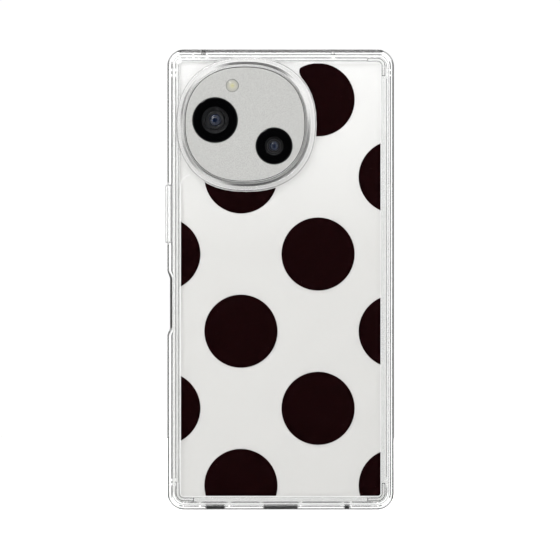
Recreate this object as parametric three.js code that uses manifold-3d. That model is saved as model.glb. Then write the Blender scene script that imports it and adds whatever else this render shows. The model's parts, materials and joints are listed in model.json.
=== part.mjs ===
// A smartphone in a clear, dotted bumper case: the case, the phone and what the phone holds inside.
//
// Millimetres. X runs to the right seen from behind, Z runs up, and Y runs through the thickness: the camera
// side faces -Y and the display faces +Y. The origin is the centre of the footprint, with the case's lower
// edge at Z = 0.

import * as THREE from "three";
import { mergeVertices } from "three/addons/utils/BufferGeometryUtils.js";
import Module from "manifold-3d";

const wasm = await Module();
wasm.setup();

// ---------------------------------------------------------------- driving dimensions

const PHONE = {
  width: 75,
  height: 156,
  depth: 8.9,
  corner: 5.2,
  wall: 1.6, // frame beside the back room, which holds the boards and battery
  backRoomCorner: 3.6,
  glassSeat: 1.3, // frame beside the front room, which holds the display
  frontRoomCorner: 3.9,
};
const CASE = {
  sideWall: 2, // bumper beside the phone
  endWall: 2.2, // bumper above and below the phone
  corner: 5.8,
  cavityCorner: 3.9,
  chamfer: 0.7,
  groove: { inset: 1.15, width: 0.6, depth: 0.3 }, // round the back rim
  plate: 1.15, // back plate thickness
  rimProud: 0.3, // bumper rim behind the plate
  rimWidth: 4.45, // bumper rim seen from behind
  ringRise: 3.2, // camera ring behind the phone's back
  lip: 0.7, // bumper in front of the display
  fit: 0.15, // air between phone and bumper
  inkRoom: 0.15, // air between the back plate and the phone, which holds the ink
};
const ISLAND = { x: -12.4, z: 134.3, a: 21.15, b: 20.2, power: 2.3, rise: 2.5, rim: 0.35 };
const RING = { fit: 0.3, width: 3.2, shift: 0.45 }; // the case's camera ring, measured from the island
// The lenses and flash: x and z from the island's centre, and radii, but for box, which is a module's width.
const MAIN_LENS = {
  x: -10.4,
  z: 1.4,
  window: 7.88,
  bore: 6.8,
  box: 13,
  turret: 6.4,
  barrel: 4,
  glass: 2.2,
};
const WIDE_LENS = {
  x: 10.13,
  z: -7.6,
  window: 6.38,
  bore: 5.2,
  box: 9.5,
  turret: 4.9,
  barrel: 2.8,
  glass: 1.5,
};
const FLASH = { x: -4.4, z: 13.4, lens: 2.2, bore: 1.7, led: 1.4 };
const DOT = { radius: 12.75, pitch: 26.86, x: 13.05, z: 89.1, ink: 0.04 };
const PRINT = { width: 69.8, height: 150.6, corner: 1.06, cameraMargin: 0.15, cameraFillet: 2.8 };
const VOLUME = { z: 103.1, cover: 20.1, coverWidth: 4.8, hole: 5.2, key: 17, peg: 5.5 };
const POWER = { z: 72, window: 18.4, windowWidth: 6.8, key: 13 };
const SCOOP = { depth: 0.75, flat: 8.4, end: 11.1 }; // thumb scoop, up and down from the power key's middle
const USB = { width: 8.94, height: 3.26, depth: 7.3, corner: 1.6 };
const SPEAKER_HOLES = { x: -22.8, pitch: 1.7, radius: 0.6 };
const LOWER_MIC = { x: 23.2 };
const UPPER_MICS = [{ x: 18.2 }, { x: -26.9 }];
const MIC_RADIUS = 0.5;

const ARC_STEPS = 5; // straight steps in each rounded corner
const ROUND_STEPS = 32; // straight steps in a full circle
const SMALL_STEPS = 16; // straight steps in a small hole or pin
const ISLAND_STEPS = 48;
const DOT_STEPS = 48;
const AIR = 0.05; // gap between pieces that touch
const THROUGH = 10; // how far a cutter that passes right through reaches along Y

// ---------------------------------------------------------------- levels and outlines worked out from them

const CASE_WIDTH = PHONE.width + 2 * CASE.sideWall;
const CASE_HEIGHT = PHONE.height + 2 * CASE.endWall;
const MID_Z = CASE_HEIGHT / 2;
const DEPTH = CASE.ringRise + PHONE.depth + CASE.lip;

// Levels along Y, from the camera ring's top at the back to the bumper's lip at the front.
const Y = {};
Y.ring = -DEPTH / 2;
Y.back = Y.ring + CASE.ringRise; // phone's back
Y.island = Y.back - ISLAND.rise;
Y.ink = Y.back - CASE.inkRoom; // inside of the back plate
Y.plate = Y.ink - CASE.plate;
Y.rim = Y.plate - CASE.rimProud;
Y.front = Y.back + PHONE.depth; // display
Y.lip = Y.front + CASE.lip;
Y.key = (Y.back + Y.front) / 2; // keys, socket and holes lie halfway through the phone
Y.cover = Y.back + 0.6; // inside of the rear cover
Y.glass = Y.front - 0.65; // inside of the display glass
Y.shelfBack = 3; // the frame's middle wall
Y.shelfFront = 3.5;

const LEFT = -PHONE.width / 2; // the phone's key side
const RIGHT = PHONE.width / 2;
const BOTTOM = CASE.endWall; // the phone's lower end
const TOP = BOTTOM + PHONE.height;

// ---------------------------------------------------------------- shapes and solids

function roundedRect(width, height, radius, x = 0, z = 0) {
  const [w, h] = [width / 2 - radius, height / 2 - radius];
  const shape = new THREE.Shape();
  shape.absarc(x + w, z + h, radius, 0, Math.PI / 2);
  shape.absarc(x - w, z + h, radius, Math.PI / 2, Math.PI);
  shape.absarc(x - w, z - h, radius, Math.PI, 1.5 * Math.PI);
  shape.absarc(x + w, z - h, radius, 1.5 * Math.PI, 2 * Math.PI);
  return shape;
}

// The camera island's outline, a rounded form between an ellipse and a rectangle, grown outwards by grow.
function islandOutline(grow = 0, x = 0, z = 0) {
  const points = [];
  for (let i = 0; i < ISLAND_STEPS; i++) {
    const t = (2 * Math.PI * i) / ISLAND_STEPS;
    const [c, s] = [Math.cos(t), Math.sin(t)];
    const u = Math.sign(c) * Math.abs(c) ** (2 / ISLAND.power);
    const v = Math.sign(s) * Math.abs(s) ** (2 / ISLAND.power);
    points.push(new THREE.Vector2(x + (ISLAND.a + grow) * u, z + (ISLAND.b + grow) * v));
  }
  return new THREE.Shape(points);
}

const polygon = (points) => new THREE.Shape(points.map(([x, z]) => new THREE.Vector2(x, z)));

// A closed solid from a geometry, ready for joining and cutting.
function solid(geometry) {
  const bare = geometry.clone();
  bare.deleteAttribute("normal");
  bare.deleteAttribute("uv");
  const merged = mergeVertices(bare, 1e-4);
  return new wasm.Manifold(
    new wasm.Mesh({
      numProp: 3,
      vertProperties: merged.attributes.position.array,
      triVerts: new Uint32Array(merged.index.array),
    }),
  );
}

// A shape drawn in XZ, carried through the thickness from y0 to y1, with its end edges chamfered by bevel.
function slab(shape, y0, y1, bevel = 0) {
  const geometry = new THREE.ExtrudeGeometry(shape, {
    depth: y1 - y0 - 2 * bevel,
    curveSegments: ARC_STEPS,
    bevelEnabled: bevel > 0,
    bevelThickness: bevel,
    bevelSize: bevel,
    bevelOffset: -bevel,
    bevelSegments: 1,
  });
  geometry.rotateX(Math.PI / 2).translate(0, y1 - bevel, 0);
  return solid(geometry);
}

// A shape drawn in XY, carried up from z0 to z1.
function column(shape, z0, z1) {
  const geometry = new THREE.ExtrudeGeometry(shape, {
    depth: z1 - z0,
    curveSegments: ARC_STEPS,
    bevelEnabled: false,
  });
  return solid(geometry.translate(0, 0, z0));
}

function box(x0, x1, y0, y1, z0, z1) {
  const geometry = new THREE.BoxGeometry(x1 - x0, y1 - y0, z1 - z0);
  return solid(geometry.translate((x0 + x1) / 2, (y0 + y1) / 2, (z0 + z1) / 2));
}

// A box written as { left, right, back, front, bottom, top }.
const block = (room) => box(room.left, room.right, room.back, room.front, room.bottom, room.top);

// A shape drawn in XZ, as a cutter that passes right through the phone or case.
const through = (shape) => slab(shape, -THROUGH, THROUGH);

// A round bar along Y.
function disc(radius, y0, y1, x = 0, z = 0, steps = ROUND_STEPS) {
  const geometry = new THREE.CylinderGeometry(radius, radius, y1 - y0, steps);
  return solid(geometry.translate(x, (y0 + y1) / 2, z));
}

// A round bar along Z.
function pin(radius, x, y, z0, z1, steps = 12) {
  const geometry = new THREE.CylinderGeometry(radius, radius, z1 - z0, steps);
  return solid(geometry.rotateX(Math.PI / 2).translate(x, y, (z0 + z1) / 2));
}

// A round cutter along Y that passes right through.
const bore = (radius, x = 0, z = 0, steps = ROUND_STEPS) => disc(radius, -THROUGH, THROUGH, x, z, steps);

const join = (first, ...rest) => rest.reduce((sum, next) => sum.add(next), first);
const cut = (base, ...tools) => tools.reduce((left, tool) => left.subtract(tool), base);

// ---------------------------------------------------------------- materials

const finish = (color, roughness, metalness = 0, opacity = 1) =>
  new THREE.MeshStandardMaterial({ color, roughness, metalness, opacity, transparent: opacity < 1 });

const MATERIAL = {
  clearRubber: finish(0xeeeeec, 0.12, 0, 0.35),
  clearPlate: finish(0xf6f6f4, 0.06, 0, 0.2),
  ink: finish(0x130304, 0.45),
  backWhite: finish(0xe4e4e0, 0.4),
  frameMetal: finish(0xc9c9c6, 0.3, 1),
  panelMetal: finish(0xc8c8c4, 0.5, 0.7),
  blackGlass: finish(0x050506, 0.05),
  lensGlass: finish(0x1a2436, 0.03),
  blackPlastic: finish(0x111112, 0.4),
  diffuser: finish(0xe9e6cf, 0.25),
  led: finish(0xf0d75c, 0.5),
  board: finish(0x0f3b2a, 0.5),
  can: finish(0xb9bcc0, 0.3, 1),
  copper: finish(0xb87344, 0.35, 1),
  battery: finish(0x26262a, 0.55),
  flex: finish(0x8a5a20, 0.5),
  steel: finish(0x8d8f93, 0.3, 1),
};

// Adds a solid to a group as a named mesh.
function add(parent, name, material, made, x = 0, y = 0, z = 0) {
  const { numProp, vertProperties, triVerts } = made.getMesh();
  const count = vertProperties.length / numProp;
  const positions = new Float32Array(count * 3);
  for (let i = 0; i < count; i++)
    positions.set(vertProperties.subarray(i * numProp, i * numProp + 3), i * 3);
  const geometry = new THREE.BufferGeometry();
  geometry.setAttribute("position", new THREE.BufferAttribute(positions, 3));
  geometry.setIndex(new THREE.BufferAttribute(new Uint32Array(triVerts), 1));
  geometry.computeVertexNormals();
  const mesh = new THREE.Mesh(geometry, material);
  mesh.name = name;
  mesh.position.set(x, y, z);
  parent.add(mesh);
  return mesh;
}

// ---------------------------------------------------------------- case

// A window through the bumper's lower or upper wall, wider at the outside. edge is the wall's outer Z, and
// inward is +1 on the lower wall and -1 on the upper one.
function endWindow({ x, half, flare, halfDepth }, edge, inward) {
  const at = (step) => edge + inward * step;
  const outline = [
    [x - half - flare, at(-1)],
    [x - half - flare, at(0)],
    [x - half, at(flare)],
    [x - half, at(CASE.endWall + 1)],
    [x + half, at(CASE.endWall + 1)],
    [x + half, at(flare)],
    [x + half + flare, at(0)],
    [x + half + flare, at(-1)],
  ];
  return slab(polygon(outline), Y.key - halfDepth, Y.key + halfDepth);
}

const LOWER_WINDOWS = [
  { x: 0, half: 5.9, flare: 0.8, halfDepth: 3.3 },
  { x: SPEAKER_HOLES.x, half: 3.3, flare: 0.8, halfDepth: 2.2 },
  { x: LOWER_MIC.x, half: 0.9, flare: 1.1, halfDepth: 0.9 },
];
const UPPER_WINDOWS = [
  { x: UPPER_MICS[0].x, half: 0.8, flare: 0.9, halfDepth: 0.9 },
  { x: UPPER_MICS[1].x, half: 0.9, flare: 1.1, halfDepth: 0.9 },
];

// A window through the bumper's key side, centred on the phone's thickness.
function sideWindow(z, length, width) {
  const wall = -CASE_WIDTH / 2;
  return box(wall - 1, LEFT + 0.5, Y.key - width / 2, Y.key + width / 2, z - length / 2, z + length / 2);
}

// The shallow scoop in the key side that leads a thumb to the power key.
function thumbScoop() {
  const wall = -CASE_WIDTH / 2;
  const outline = [
    [wall - 1, POWER.z - SCOOP.end],
    [wall, POWER.z - SCOOP.end],
    [wall + SCOOP.depth, POWER.z - SCOOP.flat],
    [wall + SCOOP.depth, POWER.z + SCOOP.flat],
    [wall, POWER.z + SCOOP.end],
    [wall - 1, POWER.z + SCOOP.end],
  ];
  return through(polygon(outline));
}

// A shallow channel that lets a key of the phone pass the front wall as the phone lifts out.
function keyChannel(z, length) {
  return box(LEFT - 0.65, LEFT, Y.key - 1.6, Y.lip + 1, z - length / 2 - 0.3, z + length / 2 + 0.3);
}

// The flexible frame round the phone, open at the back for the plate and at the front for the display.
function bumper() {
  const outline = (inset) =>
    roundedRect(CASE_WIDTH - 2 * inset, CASE_HEIGHT - 2 * inset, CASE.corner - inset, 0, MID_Z);
  const outer = slab(outline(0), Y.rim, Y.lip, CASE.chamfer);
  const cavityWidth = PHONE.width + 2 * CASE.fit;
  const cavityHeight = PHONE.height + 2 * CASE.fit;
  const cavity = roundedRect(cavityWidth, cavityHeight, CASE.cavityCorner, 0, MID_Z);
  const { inset, width, depth } = CASE.groove;
  const grooveOuter = slab(outline(inset), Y.rim - 1, Y.rim + depth);
  const grooveInner = slab(outline(inset + width), Y.rim - 2, Y.rim + 1);
  return cut(
    outer,
    slab(cavity, Y.back - AIR, Y.lip + 1),
    slab(outline(CASE.rimWidth), Y.rim - 1, Y.back),
    slab(ringOutline(AIR), Y.rim - 1, Y.back),
    cut(grooveOuter, grooveInner),
    sideWindow(VOLUME.z, VOLUME.cover + 0.4, VOLUME.hole),
    sideWindow(POWER.z, POWER.window, POWER.windowWidth),
    thumbScoop(),
    keyChannel(VOLUME.z, VOLUME.key),
    keyChannel(POWER.z, POWER.key),
    ...LOWER_WINDOWS.map((window) => endWindow(window, 0, 1)),
    ...UPPER_WINDOWS.map((window) => endWindow(window, CASE_HEIGHT, -1)),
  );
}

// The camera ring's outer outline, which sits a little to the right of the island's.
function ringOutline(grow = 0) {
  return islandOutline(RING.width + grow, ISLAND.x + RING.shift, ISLAND.z);
}

// The back plate with its raised ring round the camera island.
function backPlate() {
  const inset = CASE.rimWidth + AIR;
  const radius = CASE.corner - inset;
  const outline = roundedRect(CASE_WIDTH - 2 * inset, CASE_HEIGHT - 2 * inset, radius, 0, MID_Z);
  const plate = slab(outline, Y.plate, Y.ink);
  const ring = slab(ringOutline(), Y.ring, Y.ink, 0.6);
  const hole = slab(islandOutline(RING.fit, ISLAND.x, ISLAND.z), Y.ring - 1, Y.back + 1);
  const flare = slab(islandOutline(RING.fit + 1, ISLAND.x, ISLAND.z), Y.ring - 1, Y.ring + 0.9, 0.9);
  return cut(join(plate, ring), hole, flare);
}

// A cutter for the print's corner between its upper edge and the camera, which is rounded by a circle that
// touches both.
function printCorner() {
  const radius = PRINT.cameraFillet;
  const top = MID_Z + PRINT.height / 2;
  const z = top - radius;
  const grow = RING.width + PRINT.cameraMargin + radius;
  const rise = ((z - ISLAND.z) / (ISLAND.b + grow)) ** ISLAND.power;
  const x = ISLAND.x + RING.shift + (ISLAND.a + grow) * (1 - rise) ** (1 / ISLAND.power);
  return cut(box(ISLAND.x, x, -5, 5, z - radius * Math.SQRT1_2, top + 1), bore(radius, x, z));
}

// The printed dots: a staggered grid, kept inside the print's edges and clear of the camera.
function addDots(parent) {
  const area = through(roundedRect(PRINT.width, PRINT.height, PRINT.corner, 0, MID_Z));
  const camera = through(ringOutline(PRINT.cameraMargin));
  const corner = printCorner();
  const back = Y.ink + 0.02;
  let number = 0;
  for (let row = 2; row >= -3; row--)
    for (let column = -2; column <= 1; column++) {
      const [x, z] = [DOT.x + column * DOT.pitch, DOT.z + row * DOT.pitch];
      const hidden = x < ISLAND.x && z > ISLAND.z; // the camera covers this one
      if ((row + column) % 2 || hidden) continue;
      const ink = disc(DOT.radius, back, back + DOT.ink, x, z, DOT_STEPS);
      number += 1;
      const name = "printed_dot_" + String(number).padStart(2, "0");
      add(parent, name, MATERIAL.ink, cut(ink.intersect(area), camera, corner));
    }
}

// The raised pad over the volume key, drawn round the middle of the phone's side face.
function volumeCover() {
  const edge = 0.4;
  const inner = -1.18; // where the pad's straight part starts
  const shape = roundedRect(VOLUME.cover, VOLUME.coverWidth, 0.6);
  const geometry = new THREE.ExtrudeGeometry(shape, {
    depth: 1.05,
    curveSegments: 2,
    bevelThickness: edge,
    bevelSize: edge,
    bevelOffset: -edge,
    bevelSegments: 1,
  });
  // The shape's length turns to Z and its depth to -X.
  return solid(geometry.rotateY(-Math.PI / 2).translate(inner, 0, 0));
}

function makeCase() {
  const caseGroup = new THREE.Group();
  add(caseGroup, "case_bumper", MATERIAL.clearRubber, bumper());
  add(caseGroup, "case_back_plate", MATERIAL.clearPlate, backPlate());
  add(caseGroup, "case_volume_cover", MATERIAL.clearRubber, volumeCover(), LEFT, Y.key, VOLUME.z);
  addDots(caseGroup);
  return caseGroup;
}

// ---------------------------------------------------------------- phone frame, covers and keys

const UPPER_BOSSES = [
  [-32.5, 100.5],
  [33, 101],
  [32.5, 152.5],
  [14.5, 152.5],
];
const LOWER_BOSSES = [
  [-32, 27.5],
  [-11, 27.5],
];
const UPPER_BRACKET = { back: -1.9, front: -1.3 };
const SPEAKER = { side: 26.2, corner: 2.4, x: -21.5, z: 17.3, back: -2.1, front: 1.6, seat: 0.6 };
const SIM = { z: 112, y: 0.6, cap: 17, carrier: 15, reach: 21 };
const FRONT_CAMERA = { x: 0, z: 149.5 };

// The recess in the frame that a key sits in.
function keyPocket(z, length) {
  const half = length / 2 + 0.25;
  return box(LEFT - 1, LEFT + 1.2, Y.key - 1.4, Y.key + 1.4, z - half, z + half);
}

const pegHole = (z) => box(LEFT - 1, LEFT + 3, Y.key - 0.8, Y.key + 0.8, z - 1, z + 1);

const lowerHole = (x, radius) => pin(radius, x, Y.key, BOTTOM - 1, BOTTOM + 3);

function trayHole() {
  const half = SIM.cap / 2 + 0.15;
  return box(RIGHT - 3, RIGHT + 1, SIM.y - 1.5, SIM.y + 1.5, SIM.z - half, SIM.z + half);
}

// A screw boss that stands on the frame's middle wall.
function boss([x, z], top) {
  const post = disc(1.6, top, Y.shelfBack + 0.1, x, z, SMALL_STEPS);
  return cut(post, disc(0.75, top - 1, Y.shelfBack - 0.2, x, z, 12));
}

// The metal frame: a band round the phone, and a middle wall between the boards and the display.
function midFrame() {
  const outline = (inset, radius) =>
    roundedRect(PHONE.width - 2 * inset, PHONE.height - 2 * inset, radius, 0, MID_Z);
  const ring = slab(outline(0, PHONE.corner), Y.cover + AIR, Y.glass - AIR, 0.25);
  const backRoom = slab(outline(PHONE.wall, PHONE.backRoomCorner), Y.cover - 1, Y.shelfBack);
  const frontRoom = slab(outline(PHONE.glassSeat, PHONE.frontRoomCorner), Y.shelfFront, Y.glass + 1);
  const socket = roundedRect(USB.width + 0.4, USB.height + 0.4, USB.corner + 0.2, 0, Y.key);
  const speakerHole = (i) => SPEAKER_HOLES.x + SPEAKER_HOLES.pitch * i;
  const hollow = cut(
    ring,
    backRoom,
    frontRoom,
    keyPocket(VOLUME.z, VOLUME.key),
    keyPocket(POWER.z, POWER.key),
    pegHole(VOLUME.z + VOLUME.peg),
    pegHole(VOLUME.z - VOLUME.peg),
    pegHole(POWER.z),
    column(socket, BOTTOM - 1, BOTTOM + 3),
    lowerHole(LOWER_MIC.x, MIC_RADIUS),
    ...[-1.5, -0.5, 0.5, 1.5].map((i) => lowerHole(speakerHole(i), SPEAKER_HOLES.radius)),
    ...UPPER_MICS.map(({ x }) => pin(MIC_RADIUS, x, Y.key, TOP - 3, TOP + 1)),
    trayHole(),
    disc(2.1, Y.shelfBack - 1, Y.shelfFront + 1, FRONT_CAMERA.x, FRONT_CAMERA.z, SMALL_STEPS),
  );
  return join(
    hollow,
    ...UPPER_BOSSES.map((at) => boss(at, UPPER_BRACKET.front + AIR)),
    ...LOWER_BOSSES.map((at) => boss(at, SPEAKER.front + AIR)),
  );
}

function rearCover() {
  const outline = roundedRect(PHONE.width - 0.2, PHONE.height - 0.2, PHONE.corner - 0.1, 0, MID_Z);
  return cut(slab(outline, Y.back, Y.cover, 0.25), through(islandOutline(0.15, ISLAND.x, ISLAND.z)));
}

function displayGlass() {
  const outline = roundedRect(PHONE.width - 0.6, PHONE.height - 0.6, PHONE.corner - 0.3, 0, MID_Z);
  return slab(outline, Y.glass, Y.front, 0.3);
}

function displayPanel() {
  const outline = roundedRect(PHONE.width - 4.4, PHONE.height - 4.4, 4, 0, MID_Z);
  const eye = bore(1.9, FRONT_CAMERA.x, FRONT_CAMERA.z, SMALL_STEPS);
  return cut(slab(outline, Y.shelfFront + 0.1, Y.glass - 0.1), eye);
}

// A key bar with pegs that reach through the frame to the switches, drawn round its own centre.
function key(length, pegs) {
  const bar = box(-0.35, 0.8, -1.15, 1.15, -length / 2, length / 2);
  return join(bar, ...pegs.map((z) => box(0.7, 1.75, -0.6, 0.6, z - 0.8, z + 0.8)));
}

const keySwitch = () => box(0, 0.6, -0.8, 0.8, -1.6, 1.6);

function addKeys(parent) {
  const volumeKey = key(VOLUME.key, [-VOLUME.peg, VOLUME.peg]);
  add(parent, "volume_key", MATERIAL.frameMetal, volumeKey, LEFT, Y.key, VOLUME.z);
  add(parent, "power_key", MATERIAL.frameMetal, key(POWER.key, [0]), LEFT, Y.key, POWER.z);
  const switches = { volume_up: VOLUME.z + VOLUME.peg, volume_down: VOLUME.z - VOLUME.peg, power: POWER.z };
  for (const [name, z] of Object.entries(switches))
    add(parent, name + "_switch", MATERIAL.steel, keySwitch(), LEFT + 1.95, Y.key, z);
}

// ---------------------------------------------------------------- camera

const WINDOW_DEPTH = 0.45; // from the island's top to the inside of a lens window
const CAMERA_MODULE = { boxBack: -1.7, boxFront: 2.4, barrelFront: 0.9, windowGap: 0.9 };

function cameraIsland() {
  const body = slab(islandOutline(), Y.island, Y.cover + 0.1, 0.15);
  const flange = slab(islandOutline(1.1), Y.cover + AIR, Y.cover + 0.65);
  const pocket = slab(islandOutline(-ISLAND.rim), Y.island - 1, Y.island + 0.5);
  const holes = [MAIN_LENS, WIDE_LENS, FLASH].map(({ x, z, bore: radius }) => bore(radius, x, z));
  return cut(join(body, flange), pocket, ...holes);
}

function cameraPanel() {
  const hole = ({ x, z }, radius) => bore(radius + 0.1, x, z);
  return cut(
    slab(islandOutline(-ISLAND.rim - AIR), Y.island + AIR, Y.island + WINDOW_DEPTH),
    hole(MAIN_LENS, MAIN_LENS.window),
    hole(WIDE_LENS, WIDE_LENS.window),
    hole(FLASH, FLASH.lens),
  );
}

// One rear camera: its window, housing, sliding barrel, front lens and sensor floor.
function addRearCamera(parent, name, lens) {
  const windowFront = Y.island + WINDOW_DEPTH;
  const { boxBack, boxFront, barrelFront } = CAMERA_MODULE;
  const turretBack = windowFront + CAMERA_MODULE.windowGap;
  const housing = cut(
    join(
      slab(roundedRect(lens.box, lens.box, 0.8), boxBack, boxFront),
      disc(lens.turret, turretBack, boxBack + 0.1),
    ),
    disc(lens.barrel + 0.2, turretBack - 1, boxFront - 1),
  );
  const barrel = cut(
    disc(lens.barrel, turretBack + 0.1, barrelFront),
    disc(lens.glass + 0.1, turretBack - 1, turretBack + 1.3),
    disc(lens.glass * 0.7, turretBack, barrelFront + 1),
  );
  const window = disc(lens.window, Y.island - AIR, windowFront);
  const glass = disc(lens.glass, turretBack + 0.2, turretBack + 1.2);
  add(parent, name + "_lens_window", MATERIAL.blackGlass, window, lens.x, 0, lens.z);
  add(parent, name + "_camera_housing", MATERIAL.blackPlastic, housing, lens.x, 0, lens.z);
  add(parent, name + "_lens_barrel", MATERIAL.blackPlastic, barrel, lens.x, 0, lens.z);
  add(parent, name + "_lens_glass", MATERIAL.lensGlass, glass, lens.x, 0, lens.z);
}

function makeCamera() {
  const camera = new THREE.Group();
  camera.position.set(ISLAND.x, 0, ISLAND.z);
  add(camera, "camera_island", MATERIAL.frameMetal, cameraIsland());
  add(camera, "camera_panel", MATERIAL.panelMetal, cameraPanel());
  addRearCamera(camera, "main", MAIN_LENS);
  addRearCamera(camera, "wide", WIDE_LENS);
  const lensFront = Y.island + WINDOW_DEPTH;
  add(camera, "flash_lens", MATERIAL.diffuser, disc(FLASH.lens, Y.island, lensFront), FLASH.x, 0, FLASH.z);
  const led = disc(FLASH.led, lensFront + 0.1, lensFront + 1, 0, 0, SMALL_STEPS);
  add(camera, "flash_led", MATERIAL.led, led, FLASH.x, 0, FLASH.z);
  return camera;
}

// The front camera: a square housing and a round snout that reaches the display glass.
function frontCamera() {
  return join(box(-3, 3, -1, 2.9, -3, 3), disc(1.7, 2.8, Y.glass - 0.15, 0, 0, SMALL_STEPS));
}

// ---------------------------------------------------------------- boards, battery and modules

const BOARD = { width: 69.4, height: 57.8, corner: 3, z: 126.9, back: 1.4, front: 2.2 };
const SUB_BOARD = { width: 70, height: 26.4, corner: 3.2, z: 17.8, back: 2.05, front: 2.75 };
const BATTERY = { width: 61, height: 62, corner: 2, x: -3, z: 64.5, back: -2.2, front: 2.4, edge: 0.6 };
const COIL = { width: 34, height: 12.4, corner: 3, z: 104, track: 2.2, thick: 0.35 };
const VAPOUR_CHAMBER = { left: -8, right: 27, back: 2.55, front: 2.9, bottom: 50, top: 120 };
const EARPIECE = { left: -7, right: 7, back: -0.5, front: 2.8, bottom: 153, top: 156.2 };
const MAIN_CAN = { left: 12.6, right: 34.4, back: -1.1, front: BOARD.back - 0.1, bottom: 123.5, top: 146 };
const POWER_CAN = { left: -29.8, right: -9, back: -1.1, front: BOARD.back - 0.1, bottom: 99, top: 120 };
const FLEX = { left: 28.2, right: 31, back: 0.95, front: 1.2, bottom: 26, top: 103.6 };

// A circuit board's plate.
const boardPlate = (board) =>
  slab(roundedRect(board.width, board.height, board.corner, 0, board.z), board.back, board.front);

// The round gap a board leaves for a screw boss.
const bossGap = ([x, z]) => bore(1.9, x, z, SMALL_STEPS);

function mainBoard() {
  const well = ({ x, z, box: side }) =>
    through(roundedRect(side + 0.8, side + 0.8, 0.4, ISLAND.x + x, ISLAND.z + z));
  const frontCameraGap = box(-7.6, 7.6, 0, 4, 145.9, 157);
  const wells = [MAIN_LENS, WIDE_LENS].map(well);
  return cut(boardPlate(BOARD), ...wells, frontCameraGap, ...UPPER_BOSSES.map(bossGap));
}

// An L-shaped bracket over the board, below the camera and beside it.
function upperBracket() {
  const reach = 35;
  const camera = { right: 11.8, bottom: 111.8 };
  const [bottom, top] = [97.4, 155.4];
  const outline = [
    [-reach, bottom],
    [reach, bottom],
    [reach, top],
    [camera.right, top],
    [camera.right, camera.bottom],
    [-reach, camera.bottom],
  ];
  const plate = slab(polygon(outline), UPPER_BRACKET.back, UPPER_BRACKET.front);
  return cut(plate, ...UPPER_BOSSES.map(([x, z]) => bore(0.8, x, z, 12)));
}

// A pan-head screw, drawn with its head's underside at Y = 0 and its shank towards +Y.
function screw(shank) {
  const head = cut(disc(1.2, -0.5, 0, 0, 0, SMALL_STEPS), box(-0.7, 0.7, -1, -0.3, -0.12, 0.12));
  return join(head, disc(0.65, -0.1, shank, 0, 0, 12));
}

function addScrews(parent) {
  let number = 0;
  const place = ([x, z], seat, shank) => {
    number += 1;
    add(parent, "bracket_screw_" + number, MATERIAL.steel, screw(shank), x, seat - AIR, z);
  };
  for (const at of UPPER_BOSSES) place(at, UPPER_BRACKET.back, 3.4);
  for (const at of LOWER_BOSSES) place(at, SPEAKER.seat, 1.9);
}

// The contactless coil: a flat loop on the bracket's back.
function nfcCoil() {
  const { width, height, corner, z } = COIL;
  const outline = (inset) => roundedRect(width - 2 * inset, height - 2 * inset, corner, 0, z);
  const front = UPPER_BRACKET.back - 0.1;
  return cut(slab(outline(0), front - COIL.thick, front), through(outline(COIL.track)));
}

// The card tray: a cap that closes the frame and a carrier with a well for the card.
function simTray() {
  const { z, y, cap, carrier, reach } = SIM;
  const door = box(RIGHT - 1.4, RIGHT, y - 1.3, y + 1.3, z - cap / 2, z + cap / 2);
  const plate = box(RIGHT - reach, RIGHT - 1.3, y - 0.6, y + 0.4, z - carrier / 2, z + carrier / 2);
  const cardWell = box(RIGHT - reach + 1, RIGHT - 5, y - 1, y + 0.1, z - 6.2, z + 6.2);
  const pinHole = new THREE.CylinderGeometry(0.45, 0.45, 4, 12).rotateZ(Math.PI / 2);
  return cut(join(door, plate), cardWell, solid(pinHole.translate(RIGHT, y, z + 7)));
}

// The cage on the main board that the card tray slides into.
function simConnector() {
  const { z, y, carrier, reach } = SIM;
  const [inner, outer] = [carrier / 2 + 0.3, carrier / 2 + 0.6];
  const [x0, x1] = [RIGHT - reach - 1.5, RIGHT - 2.2];
  return cut(
    box(x0, x1, y - 1.2, BOARD.back - 0.1, z - outer, z + outer),
    box(x0 - 1, x1 + 1, y - 0.9, 5, z - inner, z + inner),
  );
}

function subBoard() {
  const socketNotch = box(-5, 5, 0, 4, 0, BOTTOM + USB.depth + 0.8);
  return cut(boardPlate(SUB_BOARD), socketNotch, ...LOWER_BOSSES.map(bossGap));
}

function usbReceptacle() {
  const [z0, z1] = [BOTTOM + 0.15, BOTTOM + USB.depth];
  const shell = column(roundedRect(USB.width, USB.height, USB.corner, 0, Y.key), z0, z1);
  const mouth = column(roundedRect(USB.width - 0.6, USB.height - 0.7, 1.25, 0, Y.key), z0 - 1, z1 - 0.8);
  const tongue = box(-3.35, 3.35, Y.key - 0.35, Y.key + 0.35, z0 + 0.6, z1 - 0.5);
  return join(cut(shell, mouth), tongue);
}

function speakerBox() {
  const { side, corner, x: midX, z: midZ, back, front, seat } = SPEAKER;
  const body = slab(roundedRect(side, side, corner, midX, midZ), back, front);
  const screwHoles = LOWER_BOSSES.flatMap(([x, z]) => [
    disc(1.5, -THROUGH, seat, x, z, SMALL_STEPS),
    bore(0.8, x, z, 12),
  ]);
  const duct = box(-26, -19.3, Y.key - 0.8, Y.key + 0.2, 0, BOTTOM + 6);
  return cut(body, duct, ...screwHoles);
}

const HAPTIC = { x: 18, z: 16, width: 12, height: 16, back: -2, front: 1.85, wall: 0.45 };
const HAPTIC_MASS = { left: -4.8, right: 4.8, back: -1.3, front: 1.3, bottom: -6.5, top: 6.5 };

// A tray drawn round its own centre, open at the front, that the moving mass slides in.
function hapticHousing() {
  const { back, front, wall } = HAPTIC;
  const [x, z] = [HAPTIC.width / 2, HAPTIC.height / 2];
  const room = box(wall - x, x - wall, back + wall, front + 1, wall - z, z - wall);
  return cut(box(-x, x, back, front, -z, z), room);
}

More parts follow.
